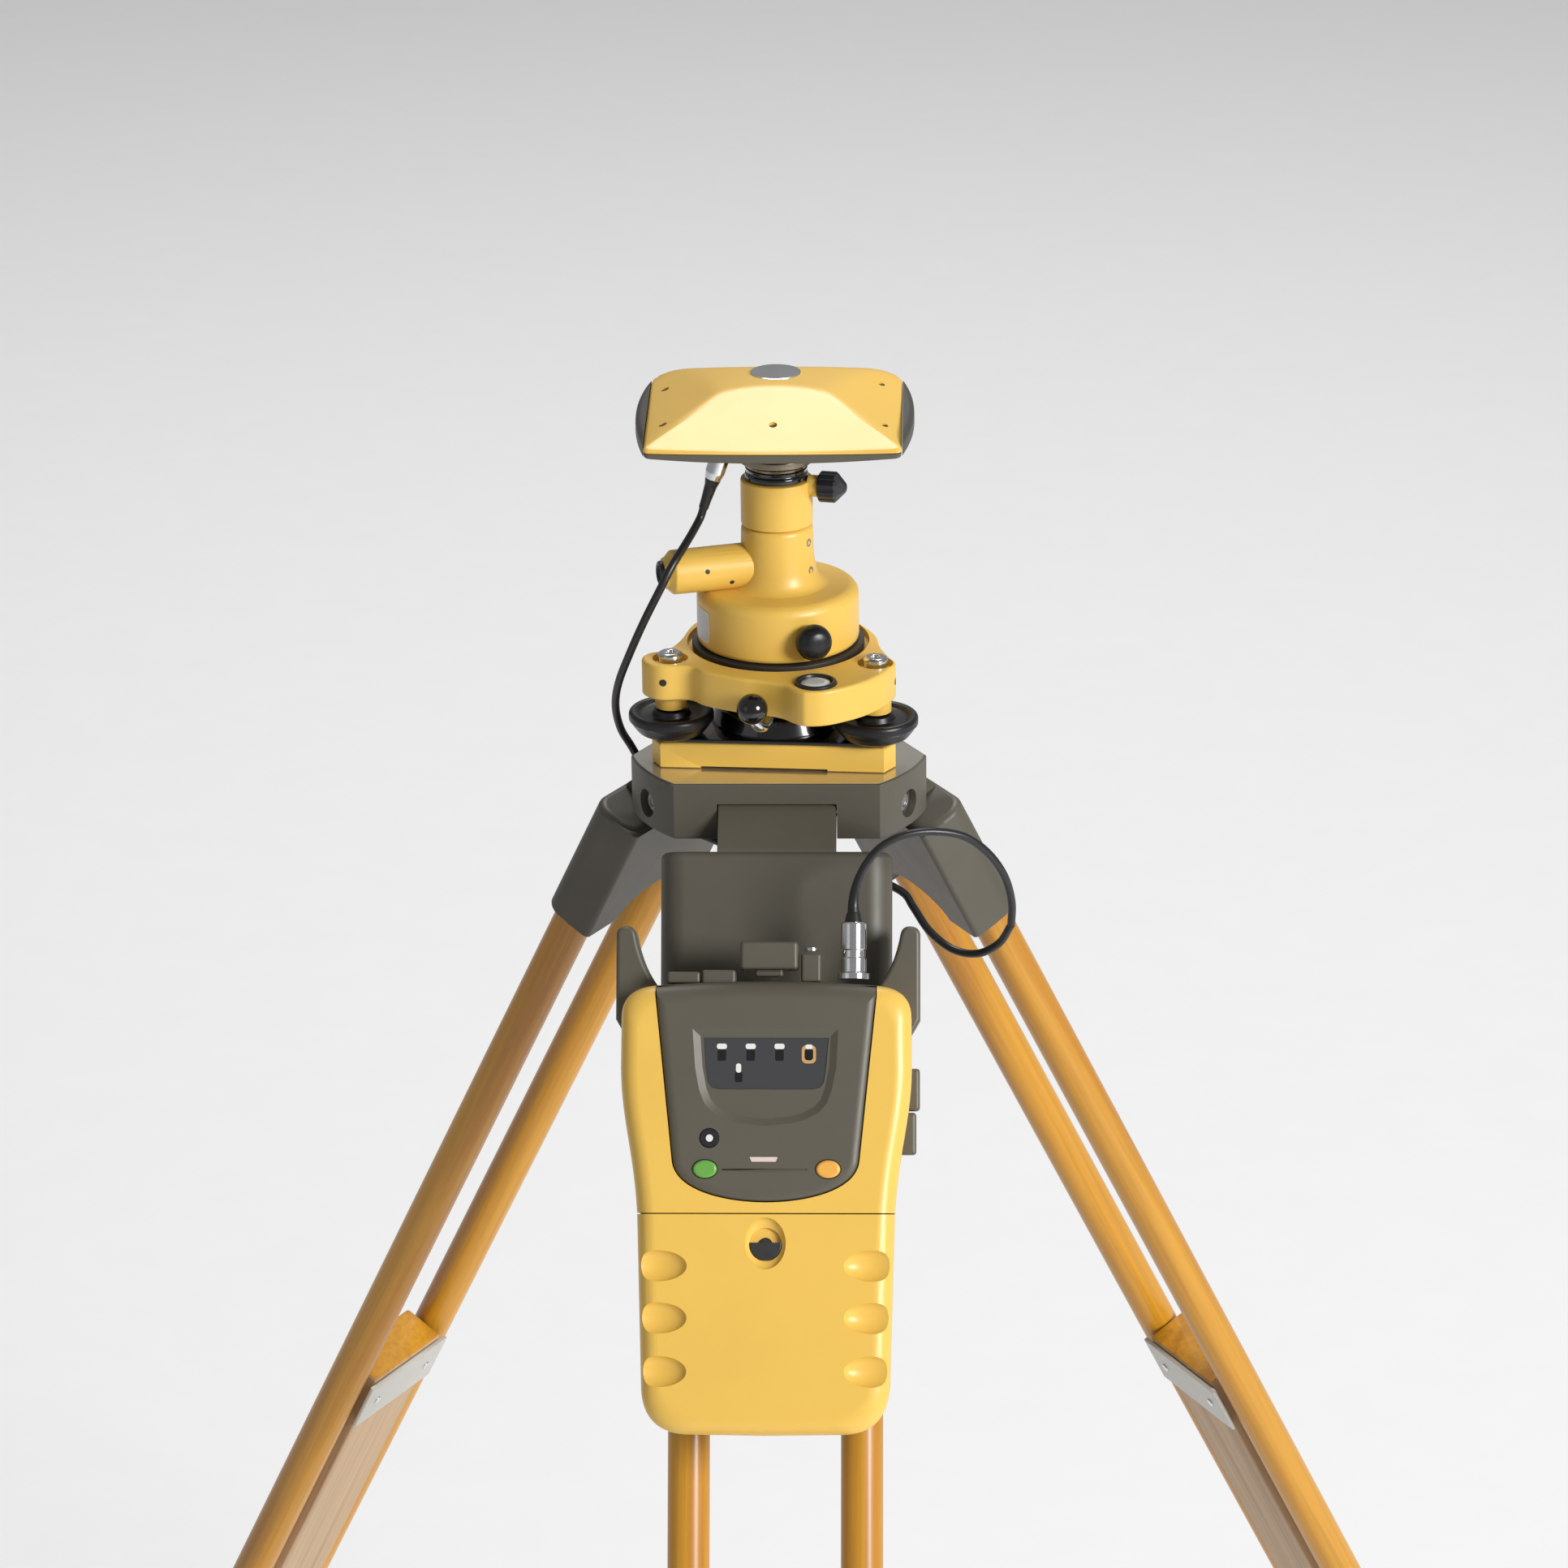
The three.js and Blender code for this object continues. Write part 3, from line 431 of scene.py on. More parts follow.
# ---------------------------------------------------------------- materials
class Nodes:
    """A short way to write a material's node tree."""

    def __init__(self, name):
        self.material = bpy.data.materials.new(name)
        self.material.use_nodes = True
        self.tree = self.material.node_tree
        self.shader = self.tree.nodes["Principled BSDF"]
        self.place = self.add("ShaderNodeTexCoord").outputs["Object"]

    def add(self, kind, **values):
        node = self.tree.nodes.new(kind)
        for key, value in values.items():
            if key in node.inputs:
                node.inputs[key].default_value = value
            else:
                setattr(node, key, value)
        return node

    def link(self, source, target):
        self.tree.links.new(source, target)

    def set(self, **values):
        for key, value in values.items():
            self.shader.inputs[key.replace("_", " ")].default_value = value

    def feed(self, source, name):
        """Links a value or colour to one of the shader's inputs."""
        self.link(source, self.shader.inputs[name])

    def noise(self, scale, detail=3, roughness=0.5, vector=None, distortion=0):
        node = self.add("ShaderNodeTexNoise", Scale=scale, Detail=detail, Roughness=roughness,
                        Distortion=distortion)
        self.link(vector or self.place, node.inputs["Vector"])
        return node.outputs["Fac"]

    def ramp(self, value, stops):
        node = self.add("ShaderNodeValToRGB")
        ramp = node.color_ramp
        while len(ramp.elements) < len(stops):
            ramp.elements.new(0.5)
        for element, (position, color) in zip(ramp.elements, stops):
            element.position = position
            element.color = (*color, 1)
        self.link(value, node.inputs["Fac"])
        return node.outputs["Color"]

    def span(self, value, low, high):
        node = self.add("ShaderNodeMapRange")
        node.inputs["To Min"].default_value = low
        node.inputs["To Max"].default_value = high
        self.link(value, node.inputs["Value"])
        return node.outputs["Result"]

    def bump(self, height, strength, depth):
        """Relief on the surface, as deep as depth in millimetres."""
        node = self.add("ShaderNodeBump", Strength=strength, Distance=depth * MM)
        self.link(height, node.inputs["Height"])
        self.feed(node.outputs["Normal"], "Normal")


def shade(color, factor):
    return tuple(min(1, c * factor) for c in color)


def coated(name, color, rough=(0.38, 0.5), texture=2600, depth=0.06, vary=0.06, metallic=0, coat=0):
    """Paint or moulded plastic: faint colour variation, rubbed gloss and a fine surface texture."""
    look = Nodes(name)
    broad = look.noise(14, 4, 0.6)
    tint = look.ramp(broad, [(0.3, shade(color, 1 - vary)), (0.7, shade(color, 1 + vary * 0.6))])
    look.feed(tint, "Base Color")
    wear = look.noise(55, 5, 0.65)
    look.feed(look.span(wear, *rough), "Roughness")
    look.set(Metallic=metallic, Coat_Weight=coat, Coat_Roughness=0.2)
    fine = look.noise(texture, 2, 0.5)
    look.bump(fine, 0.25, depth)
    return look.material


def metal(name, color, rough=(0.2, 0.34), lines=1400):
    look = Nodes(name)
    stretched = look.add("ShaderNodeMapping", Scale=(1, 1, 0.05))
    look.link(look.place, stretched.inputs["Vector"])
    brushed = look.noise(lines, 3, 0.6, stretched.outputs["Vector"])
    cloud = look.noise(60, 4, 0.6)
    look.feed(look.ramp(cloud, [(0.3, shade(color, 0.86)), (0.7, color)]), "Base Color")
    look.feed(look.span(brushed, *rough), "Roughness")
    look.set(Metallic=1)
    look.bump(brushed, 0.12, 0.05)
    return look.material


def wood(name, leg, dark, light, coat, rough):
    """Straight grain along the leg, with darker streaks and pores."""
    look = Nodes(name)
    along = look.add("ShaderNodeMapping", vector_type="TEXTURE")
    along.inputs["Rotation"].default_value = leg_frame(leg).to_3x3().normalized().to_euler()
    look.link(look.place, along.inputs["Vector"])

    def stretch(scale):
        node = look.add("ShaderNodeMapping", Scale=scale)
        look.link(along.outputs["Vector"], node.inputs["Vector"])
        return node.outputs["Vector"]

    broad = look.noise(1, 4, 0.55, stretch((45, 45, 1.6)), 0.6)
    streaks = look.noise(1, 6, 0.62, stretch((330, 330, 7)), 0.3)
    pores = look.noise(1, 2, 0.5, stretch((1700, 1700, 60)))
    base = look.ramp(broad, [(0.32, dark), (0.5, shade(light, 0.92)), (0.68, light)])
    shadow = look.ramp(streaks, [(0.36, (0.72, 0.68, 0.62)), (0.55, (1, 1, 1))])
    mixed = look.add("ShaderNodeMix", data_type="RGBA", blend_type="MULTIPLY")
    mixed.inputs["Factor"].default_value = 0.55
    look.link(base, mixed.inputs[6])
    look.link(shadow, mixed.inputs[7])
    look.feed(mixed.outputs[2], "Base Color")
    look.feed(look.span(streaks, *rough), "Roughness")
    look.set(Coat_Weight=coat, Coat_Roughness=0.16)
    look.bump(pores, 0.15, 0.06)
    return look.material


def lamp_glass(name, color, rough=0.08):
    look = Nodes(name)
    look.set(Base_Color=(*color, 1), Roughness=rough, Coat_Weight=0.6, Coat_Roughness=0.05)
    cloud = look.noise(300, 2)
    look.bump(cloud, 0.05, 0.02)
    return look.material


YELLOW = (0.76, 0.475, 0.085)
OLIVE = (0.088, 0.079, 0.058)
yellow_paint = coated("yellow_paint", YELLOW, (0.36, 0.46), 3200, 0.05, 0.04, coat=0.1)
yellow_plastic = coated("yellow_plastic", shade(YELLOW, 1.03), (0.34, 0.42), 2200, 0.05, 0.03, coat=0.12)
olive_paint = coated("olive_paint", OLIVE, (0.42, 0.56), 1500, 0.14, 0.10)
grey_plastic = coated("grey_plastic", shade(OLIVE, 1.08), (0.40, 0.5), 2600, 0.08, 0.05)
dark_plastic = coated("dark_plastic", (0.013, 0.014, 0.017), (0.30, 0.42), 2400, 0.08, 0.10)
knob_rubber = coated("knob_rubber", (0.005, 0.005, 0.007), (0.30, 0.42), 1800, 0.1, 0.12)
gloss_black = coated("gloss_black", (0.003, 0.003, 0.0035), (0.05, 0.10), 900, 0.02, 0.10, coat=0.6)
cable_rubber = coated("cable_rubber", (0.012, 0.012, 0.013), (0.3, 0.4), 3000, 0.06, 0.10)
bright_steel = metal("bright_steel", (0.72, 0.73, 0.74), (0.12, 0.24))
latch_steel = metal("latch_steel", (0.12, 0.12, 0.125), (0.3, 0.42), 700)
dull_steel = metal("dull_steel", (0.40, 0.40, 0.39), (0.34, 0.5), 900)
bronze_steel = metal("bronze_steel", (0.26, 0.22, 0.17), (0.22, 0.34))
plate_metal = coated("plate_metal", (0.56, 0.55, 0.51), (0.4, 0.5), 1800, 0.08, 0.05, metallic=0.25)
label_white = coated("label_white", (0.80, 0.80, 0.78), (0.4, 0.5), 2500, 0.02, 0.02)
label_silver = coated("label_silver", (0.55, 0.56, 0.58), (0.35, 0.42), 2500, 0.02, 0.03, metallic=0.35)
green_key = coated("green_key", (0.13, 0.36, 0.06), (0.3, 0.4), 2600, 0.05, 0.04, coat=0.2)
orange_key = coated("orange_key", (0.80, 0.40, 0.07), (0.3, 0.4), 2600, 0.05, 0.04, coat=0.2)
display_black = lamp_glass("display_black", (0.045, 0.046, 0.05), 0.16)
lamp_dark = lamp_glass("lamp_dark", (0.004, 0.004, 0.004))
lamp_white = lamp_glass("lamp_white", (0.75, 0.75, 0.72))
lamp_amber = lamp_glass("lamp_amber", (0.55, 0.33, 0.12))
lamp_rose = lamp_glass("lamp_rose", (0.72, 0.58, 0.52))
level_glass = lamp_glass("level_glass", (0.62, 0.63, 0.60), 0.12)
circuit = coated("circuit", (0.03, 0.16, 0.07), (0.35, 0.45), 1200, 0.1, 0.12)
battery_case = coated("battery_case", (0.03, 0.032, 0.036), (0.4, 0.5), 2000, 0.1, 0.05)
# Near-black for the adapter seat ring and the cover screws, and also painted shade for the small holes in the
# ears and the arm.
dark_seal_screws_and_hole_shade = coated("dark_seal_screws_and_hole_shade", (0.020, 0.018, 0.015), (0.45, 0.6), 2000, 0.05, 0.08)
DARK_GRAIN, LIGHT_GRAIN = (0.42, 0.165, 0.008), (0.62, 0.29, 0.016)
dowel_wood = {n: wood(f"dowel_wood_{n}", n, DARK_GRAIN, LIGHT_GRAIN, 0.25, (0.34, 0.44)) for n in LEGS}
DARK_BOARD, LIGHT_BOARD = (0.40, 0.26, 0.14), (0.58, 0.40, 0.24)
board_wood = {n: wood(f"board_wood_{n}", n, DARK_BOARD, LIGHT_BOARD, 0, (0.5, 0.62)) for n in LEGS}
face_wood = {n: wood(f"face_wood_{n}", n, DARK_GRAIN, LIGHT_GRAIN, 0.45, (0.28, 0.38)) for n in LEGS}
head_metal = coated("head_metal", (0.66, 0.63, 0.56), (0.14, 0.22), 1500, 0.08, 0.08, metallic=0.85)
bumper_rubber = coated("bumper_rubber", (0.052, 0.048, 0.040), (0.42, 0.54), 2200, 0.08, 0.06)
plug_silver = metal("plug_silver", (0.80, 0.81, 0.82), (0.10, 0.2))

# ---------------------------------------------------------------- camera, light and floor
FOCAL_PIXELS = 6265.5
PICTURE = 1932
SENSOR = 36
EYE = (75.5, -2468.7, 978.6)
yaw, pitch, roll = (math.radians(angle) for angle in (-1.703, 22.081, -0.654))
forward = Vector((math.sin(yaw) * math.cos(pitch), math.cos(yaw) * math.cos(pitch), -math.sin(pitch)))
level_right = Vector((math.cos(yaw), -math.sin(yaw), 0))
level_up = level_right.cross(forward)
right = level_right * math.cos(roll) + level_up * math.sin(roll)
up = level_up * math.cos(roll) - level_right * math.sin(roll)
camera_data = bpy.data.cameras.new("camera")
camera_data.sensor_width = SENSOR
camera_data.lens = FOCAL_PIXELS * SENSOR / PICTURE
camera_data.clip_end = 60
camera = link(bpy.data.objects.new("camera", camera_data))
axes = Matrix((right, up, -forward)).transposed().to_4x4()
camera.matrix_world = Matrix.Translation(HEAD @ Vector(EYE)) @ axes
bpy.context.scene.camera = camera


def area_light(name, where, target, size, power):
    data = bpy.data.lights.new(name, "AREA")
    data.shape = "DISK"
    data.size = size
    data.energy = power
    lamp = link(bpy.data.objects.new(name, data))
    toward = (Vector(target) - Vector(where)).to_track_quat("-Z", "Y")
    lamp.matrix_world = Matrix.Translation(where) @ toward.to_matrix().to_4x4()


area_light("key", (3.3, -2.8, 3), (0, 0.1, 1.25), 1.8, 240)
area_light("fill", (-3.2, -2.6, 2.4), (0, 0.1, 1.2), 2.2, 4)
area_light("backdrop", (0, 3.6, 6.5), (0, 3.8, 0), 3, 250)
world = bpy.data.worlds.new("world")
world.use_nodes = True
sky = world.node_tree.nodes["Background"].inputs
sky["Color"].default_value = (1, 1, 1, 1)
sky["Strength"].default_value = 0.29
bpy.context.scene.world = world
bpy.context.scene.view_settings.view_transform = "Standard"
bpy.context.scene.view_settings.look = "None"

floor = prism(rounded(-14, 14, -14, 14, 4), -0.1, 0)
floor.name = "floor"
floor.data.materials.append(coated("floor_look", (0.86, 0.86, 0.86), (0.6, 0.7), 40, 0.2, 0.01))

# ---------------------------------------------------------------- antenna cable
UPPER_RUN = [[-37.6, 0.1, 129.6], [-39.4, -0.4, 124.2], [-43.4, -9.5, 118.9], [-48.4, -22, 113.8],
             [-53.4, -30, 107.4], [-59.4, -34.4, 96.5], [-67, -34, 81], [-75, -30, 62], [-82, -22, 42],
             [-84.5, -12, 25], [-82.6, -3, 9], [-77.5, 2, -3], [-73, 2.5, -13], [-71.6, 2.2, -23],
             [-68.5, 0.5, -32], [-60, -6, -39.5], [-48, -14, -43], [-32, -24, -46], [-10, -31, -51],
             [14, -34, -55], [40, -36, -58], [63, -42, -66], [70, -48, -73], [78, -57, -82], [90, -65, -89],
             [103, -73, -88], [114, -80, -79], [120, -86, -66]]
LOWER_RUN = [[120, -86, -66], [120, -91, -51], [116, -97, -34], [107, -104, -18], [95, -110, -7],
             [80, -116, -2], [66, -120.5, -2], [54, -124, -7], [45.6, -126.2, -17], [41.4, -127, -28],
             [40.2, -128.6, -35.6], [40.2, -131, -40.3]]
CABLE_RADIUS = 2.1


def cable(name, points, node):
    path = [HEAD @ p for p in spline(points, 5)]
    obj = tube(path, CABLE_RADIUS * MM, 18)
    obj.name = name
    obj.data.polygons.foreach_set("use_smooth", [True] * len(obj.data.polygons))
    obj.data.set_sharp_from_angle(angle=math.radians(50))
    obj.data.materials.append(cable_rubber)
    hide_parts(node)
    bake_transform(obj)


cable("antenna_cable_upper", UPPER_RUN, "cable_upper")
cable("antenna_cable_lower", LOWER_RUN, "cable_lower")

# ---------------------------------------------------------------- tripod head


HEAD_RADIUS = 78.5
HEAD_FLAT = 58
HALF_SLOT = 30.75


def head_outline():
    """A circle with a flat across the front of each leg's hinge."""
    half = math.degrees(math.acos(HEAD_FLAT / HEAD_RADIUS))
    start = math.radians(half - 90)
    outline = Outline(HEAD_RADIUS * math.cos(start), HEAD_RADIUS * math.sin(start))
    for degrees in LEGS.values():
        outline.arc(0, 0, HEAD_RADIUS, degrees - 90 + half, degrees + 30 - half, 14)
    return outline.close()


head = prism(head_outline(), -30.4, -0.2, 0.9, 0.9)
cut(head, rod(30, -40, 5, 64))
for degrees in LEGS.values():
    slot_tool = block((-HALF_SLOT, HALF_SLOT), (-90, -27), (-40, -11))
    inner_tool = block((-HALF_SLOT, HALF_SLOT), (-50, -27), (-40, -9))
    recess = place(rod(7.5, 74, 90, 40), radial(degrees - 30, -18))
    cut(head, place(slot_tool, turn(degrees, "Z")), place(inner_tool, turn(degrees, "Z")), recess)
bevel(head, 0.7, 2, 50)
make("tripod_head_casting", head, HEAD, "head", olive_paint, ["tripod_head"])
head_top = prism(inset(head_outline(), 1.1), -0.3, 0, 0, 0.15, 1)
cut(head_top, rod(30.2, -5, 5, 96))
make("tripod_head_top", head_top, HEAD, "head", head_metal)
bolt = [(6.2, 73.9), (6.2, 74.6), (4.6, 75.4), (2.6, 75.6), (2.6, 74.6)]
bolts = [place(turned(bolt, 40), radial(degrees - 30, -18)) for degrees in LEGS.values()]
make("head_bolts", join(*bolts), HEAD, "head", dull_steel)

screw = turned([(13, -92), (17, -89), (17, -62), (14, -58), (14, -52), (24, -50), (31, -36),
                (31, -31.2), (7.6, -31.2), (7.6, 8)], 64, 1)
for k in range(8):
    cut(screw, place(rod(2.6, -95, -60, 20), turn(k * 45, "Z") @ move(18.2, 0, 0)))
make("centre_screw_knob", screw, HEAD, "centre_screw", knob_rubber, ["centre_screw"])
for name in LEGS:
    make(f"hinge_bar_{name}", rod(4.5, -52, 52, 32, 0.5), hinge_frame(name) @ turn(90, "Y"), "head",
         bright_steel, [f"hinge_pin_{name}"])

# ---------------------------------------------------------------- legs


def knuckle(arch_depth):
    """The casting at the leg's top: a neck on the hinge, a body on both dowels and an arch below."""
    outer = DOWEL_OFFSET + 15.2
    section = rounded(-outer, outer, -DOWEL_OUT - 14.3, -DOWEL_OUT + 17, 12.5, 10)
    body = prism(section, -101, -27, 1.2, 3.6, 6)
    inner = outer - 0.01
    fuse(body, prism(rounded(-inner, inner, -DOWEL_OUT, -DOWEL_OUT + 16.99, 3, 4), -100.6, -28.6))
    oval = Matrix.Diagonal((0.52, 1, arch_depth, 1))
    cut(body, place(rod(60, -60, 80, 64), move(0, 0, -101) @ oval @ turn(90, "X")))
    neck = [(-9, 2), (0, 9.4), (9, 6), (19.9, -3.2), (30, -25), (30, -40), (5, -40), (-7, -8)]
    barrel = place(rod(9.4, -30.2, 30.2, 40), turn(90, "Y"))
    plate = prism(neck, -30.2, 30.2, 0.5, 0.5, 2)
    plate = place(plate, ACROSS)
    fuse(body, plate, barrel)
    cut(body, place(rod(4.8, -60, 60, 32), turn(90, "Y")))
    for side in (-1, 1):
        cut(body, place(rod(11, -120, -62, 40), move(side * DOWEL_OFFSET, -DOWEL_OUT, 0)))
    return bevel(body, 0.5, 2, 50)


AT_CLAMP = move(0, 0, -915) @ turn(90, "X")


def lower_clamp():
    outer = DOWEL_OFFSET + 14.3
    body = prism(rounded(-outer, outer, -36, -1, 12.5), -950, -880, 2, 2)
    for side in (-1, 1):
        cut(body, place(rod(11, -942.5, -870, 40), move(side * DOWEL_OFFSET, -DOWEL_OUT, 0)))
        groove = standing(rounded(-4, 4, -940, -890, 4, 6), 35.2, 60)
        cut(body, place(groove, move(side * 47, 0, 0)))
    cut(body, block((-32.7, 32.7), (-31, -5), (-960, -870)))
    fuse(body, place(rod(9, 33, 41, 40), AT_CLAMP))
    cut(body, place(rod(5.4, 20, 60, 32), AT_CLAMP))
    return bevel(body, 0.6, 2, 50)


def clamp_screw():
    hub = turned([(5, 31.6), (5, 43), (10, 43), (10, 48), (8.4, 58), (0, 58.6)], 40, 0.8)
    wings = prism(rounded(-24, 24, -5, 5, 4.6), 47, 56, 2, 2)
    return place(fuse(hub, wings), AT_CLAMP)


def foot_shoe():
    front = [(-35.2, -1292), (-35.2, -1330), (-9, -1392), (-7, -1440), (7, -1440), (9, -1392), (35.2, -1330),
             (35.2, -1292)]
    side = [(2, -1280), (2, -1335), (11, -1440), (25, -1440), (34, -1335), (34, -1280)]
    shoe = common(standing(front, 2, 34), place(prism(side, -60, 60), ACROSS))
    cut(shoe, block((-32.5, 32.5), (-30.9, -5.1), (-1318.3, -1280)))
    fuse(shoe, prism(rounded(-16, 16, -62, -25, 8), -1352, -1346))
    ground = place(block((-80, 80), (-80, 80), (-60, 0)), turn(LEG_TILT, "X"))
    cut(shoe, place(ground, move(0, -DOWEL_OUT, -1430)))
    return bevel(shoe, 0.8, 2, 30)


for name in LEGS:
    matrix, leg, extension = leg_frame(name), f"leg_{name}", f"extension_{name}"
    make(f"leg_knuckle_{name}", knuckle(0.09 if name == "front" else 0.24), matrix, leg,
         olive_paint, [f"knuckle_{name}"])
    for side, mark in ((-1, "a"), (1, "b")):
        pole = place(rod(10.7, -942, -62.5, 48, 0.8), move(side * DOWEL_OFFSET, -DOWEL_OUT, 0))
        make(f"leg_dowel_{name}_{mark}", pole, matrix, leg, dowel_wood[name],
             [f"dowel_{name}_{mark}"])
    make(f"leg_clamp_{name}", lower_clamp(), matrix, leg, olive_paint, [f"lower_clamp_{name}"])
    make(f"wing_screw_{name}", clamp_screw(), matrix, f"clamp_screw_{name}", knob_rubber,
         [f"clamp_screw_{name}"])
    board = prism(rounded(-32.2, 32.2, -30.2, -5.5, 1.2, 3), -1318, -470, 0.8, 0.8)
    make(f"leg_board_{name}", board, matrix, extension, board_wood[name],
         [f"extension_board_{name}"])
    face = prism(rounded(-31.6, 31.6, -30.5, -29.9, 0.25, 2), -1291, -470.6)
    make(f"board_face_{name}", face, matrix, extension, face_wood[name])
    cap = prism(rounded(-31.6, 31.6, -29.8, -6.1, 1, 3), -471, -469.6, 0, 0.3)
    make(f"board_end_{name}", cap, matrix, extension, face_wood[name])
    guide = prism(rounded(-37, 37, -5.2, -2.6, 0.8, 3), -504, -472, 0.5, 0.5)
    rivets = [place(rod(2.6, 1.8, 3.2, 24, 0.4), move(x, 0, -488) @ turn(90, "X")) for x in (-24, 24)]
    make(f"board_guide_{name}", guide, matrix, extension, plate_metal)
    make(f"guide_rivets_{name}", join(*rivets), matrix, extension, bright_steel)
    make(f"shoe_{name}", foot_shoe(), matrix, extension, dull_steel, [f"foot_shoe_{name}"])

# ---------------------------------------------------------------- tribrach
PLATE_FLAT = 39.5
PLATE_CORNER = 58
FOOT_SCREW_CIRCLE = 61
FOOT_SCREWS = {name: turn(angle, "Z") @ move(0, -FOOT_SCREW_CIRCLE, 0)
               for name, angle in (("right", 60), ("back", 180), ("left", 300))}
AT_LEVEL = move(25, -61.5, 0)


def plate_outline(distance=0):
    """A triangle with its corners cut off."""
    flat, corner = PLATE_FLAT - distance, PLATE_CORNER - distance
    points = []
    for degrees in LEGS.values():
        a = math.radians(degrees)
        for x in (-corner, corner):
            points.append((x * math.cos(a) + flat * math.sin(a), x * math.sin(a) - flat * math.cos(a)))
    return points


plate = prism(plate_outline(), 0.3, 13.8, 0.6, 1.4, 3, shrink=plate_outline)
cut(plate, rod(8.4, -5, 20, 48), block((-37, 28.5), (-60, -PLATE_FLAT + 9), (-1, 1.4)))
bevel(plate, 0.5, 2, 30)
make("tribrach_plate", plate, TRIBRACH, "head", yellow_paint, ["tribrach_base_plate"])

spring = prism(plate_outline(1.2), 14.1, 15.8, 0, 0.5, 2, shrink=lambda d: plate_outline(1.2 + d))
dome = turned([(36, 15), (36, 16.4), (33.5, 24), (28, 29), (20, 30)], 96, 1.6)
fuse(spring, dome)
cut(spring, rod(20, 0, 60, 64))
for at_screw in FOOT_SCREWS.values():
    cut(spring, place(rod(23.2, 15.9, 40, 72), at_screw), place(rod(5.6, 10, 20, 40), at_screw))
make("spring_dome", spring, TRIBRACH, "head", gloss_black, ["spring_plate"])

TRIBRACH_OUTLINE = [(-67.6, -29), (-66.2, -36), (-61, -41.5), (-55, -43.4), (-46.5, -42), (-40, -43),
                    (-34.7, -48.5), (-26.4, -53), (-14, -58), (-3, -60.3), (7.5, -64.6), (13.5, -70.2),
                    (18, -73.6), (22.3, -74.8), (33, -72), (48, -60), (57.4, -47), (61, -38), (63.2, -29),
                    (59.6, -21), (53.6, -6), (49, 13), (35, 35), (17.5, 51), (15, 60), (12.4, 67), (6, 71.5),
                    (-1, 72.3), (-8, 71), (-13.7, 67), (-16.5, 60), (-17.8, 53), (-35, 38), (-46.6, 21.8),
                    (-51, -3.5), (-56.5, -18), (-64.6, -23)]
body = prism(smooth_loop(TRIBRACH_OUTLINE, 4), 38.5, 57.5, 1.2, 1.8, 4)
cut(body, rod(29.6, 30, 70, 96), rod(47.2, 54.1, 70, 128))
cut(body, place(rod(10.9, 50.5, 70, 64), AT_LEVEL))
for at_screw in FOOT_SCREWS.values():
    fuse(body, place(rod(8.2, 31.4, 41, 48), at_screw))
    cut(body, place(rod(5.2, 20, 70, 32), at_screw), place(rod(9.2, 54.5, 70, 48), at_screw))
bevel(body, 0.4, 2, 50)
make("tribrach_casting", body, TRIBRACH, "head", yellow_paint, ["tribrach_body"])

for name, at_screw in FOOT_SCREWS.items():
    knob = turned([(5, 14.2), (5, 16.3), (13.2, 16.3), (17.2, 18.2), (19.8, 21.6), (21.2, 24),
                   (22, 24.6), (22, 28), (20.8, 29.4), (18.6, 29.4), (16, 27.4), (10, 26.8), (9, 30.2),
                   (4.8, 30.4), (4.8, 40)], 80, 0.9)
    screw_body = f"foot_screw_{name}"
    make(f"levelling_knob_{name}", place(knob, at_screw), TRIBRACH, screw_body, knob_rubber,
         [screw_body])
    cap = turned([(4.8, 39.5), (4.8, 55.6), (6.4, 55.8), (6.4, 60), (5, 61), (2.2, 61), (2.2, 59.6)], 48, 0.6)
    make(f"screw_cap_{name}", place(cap, at_screw), TRIBRACH, screw_body, bright_steel)

ring = cut(rod(40, 33, 38, 96, 0.5), rod(30.6, 30, 40, 96))
make("lock_ring", ring, HEAD, "lock_lever", gloss_black, ["lock_lever"])
bend = [(-2.6, -39, 35.4), (-3.5, -50, 34.8), (-5.5, -61, 33.6), (-8.5, -68, 36), (-11, -69.6, 40.5)]
make("lock_arm", tube(spline(bend, 5), 2.8, 20), HEAD, "lock_lever", bright_steel)
lock_ball = place(ball(8, 48), move(-11.5, -69.5, 45.8))
make("lock_ball", lock_ball, HEAD, "lock_lever", gloss_black)

cup = turned([(10.6, 50.9), (10.6, 58.6), (9.8, 59), (8.6, 58.9), (8.2, 57.6), (8.2, 53.4)], 64, 0.25)
make("level_rim", cup, TRIBRACH @ AT_LEVEL, "head", dark_plastic, ["level_cup"])
vial = turned([(7.9, 53.7), (7.9, 57.6), (5, 58.6), (0, 58.8)], 48, 0.6)
make("level_window", vial, TRIBRACH @ AT_LEVEL, "head", level_glass, ["level_vial"])

# Two clamp holes in the ears' front faces, drawn as flat near-black discs: painted shade for the holes.
dots = []
for x, y, z, azimuth in ((-55.3, -43.3, 48.5, -97), (63, -30.2, 47.5, 5)):
    dots.append(place(rod(1.9, -0.6, 0.25, 24, 0.1), move(x, y, z) @ turn(azimuth, "Z") @ turn(90, "Y")))
make("ear_hole_shade", join(*dots), TRIBRACH, "head", dark_seal_screws_and_hole_shade)

# ---------------------------------------------------------------- plummet adapter
AT_ARM = radial(197, 100.4)
AT_KNOB = radial(-66.5, 72.5)
AT_SLEEVE_KNOB = radial(-12, 142.8)

ring = turned([(29, 44), (29, 54.4), (44.6, 54.4), (44.6, 58.7)], 128, 0.5)
cut(ring, rod(12, 40, 60, 48))
make("adapter_seat", ring, HEAD, "adapter", dark_seal_screws_and_hole_shade, ["adapter_ring"])

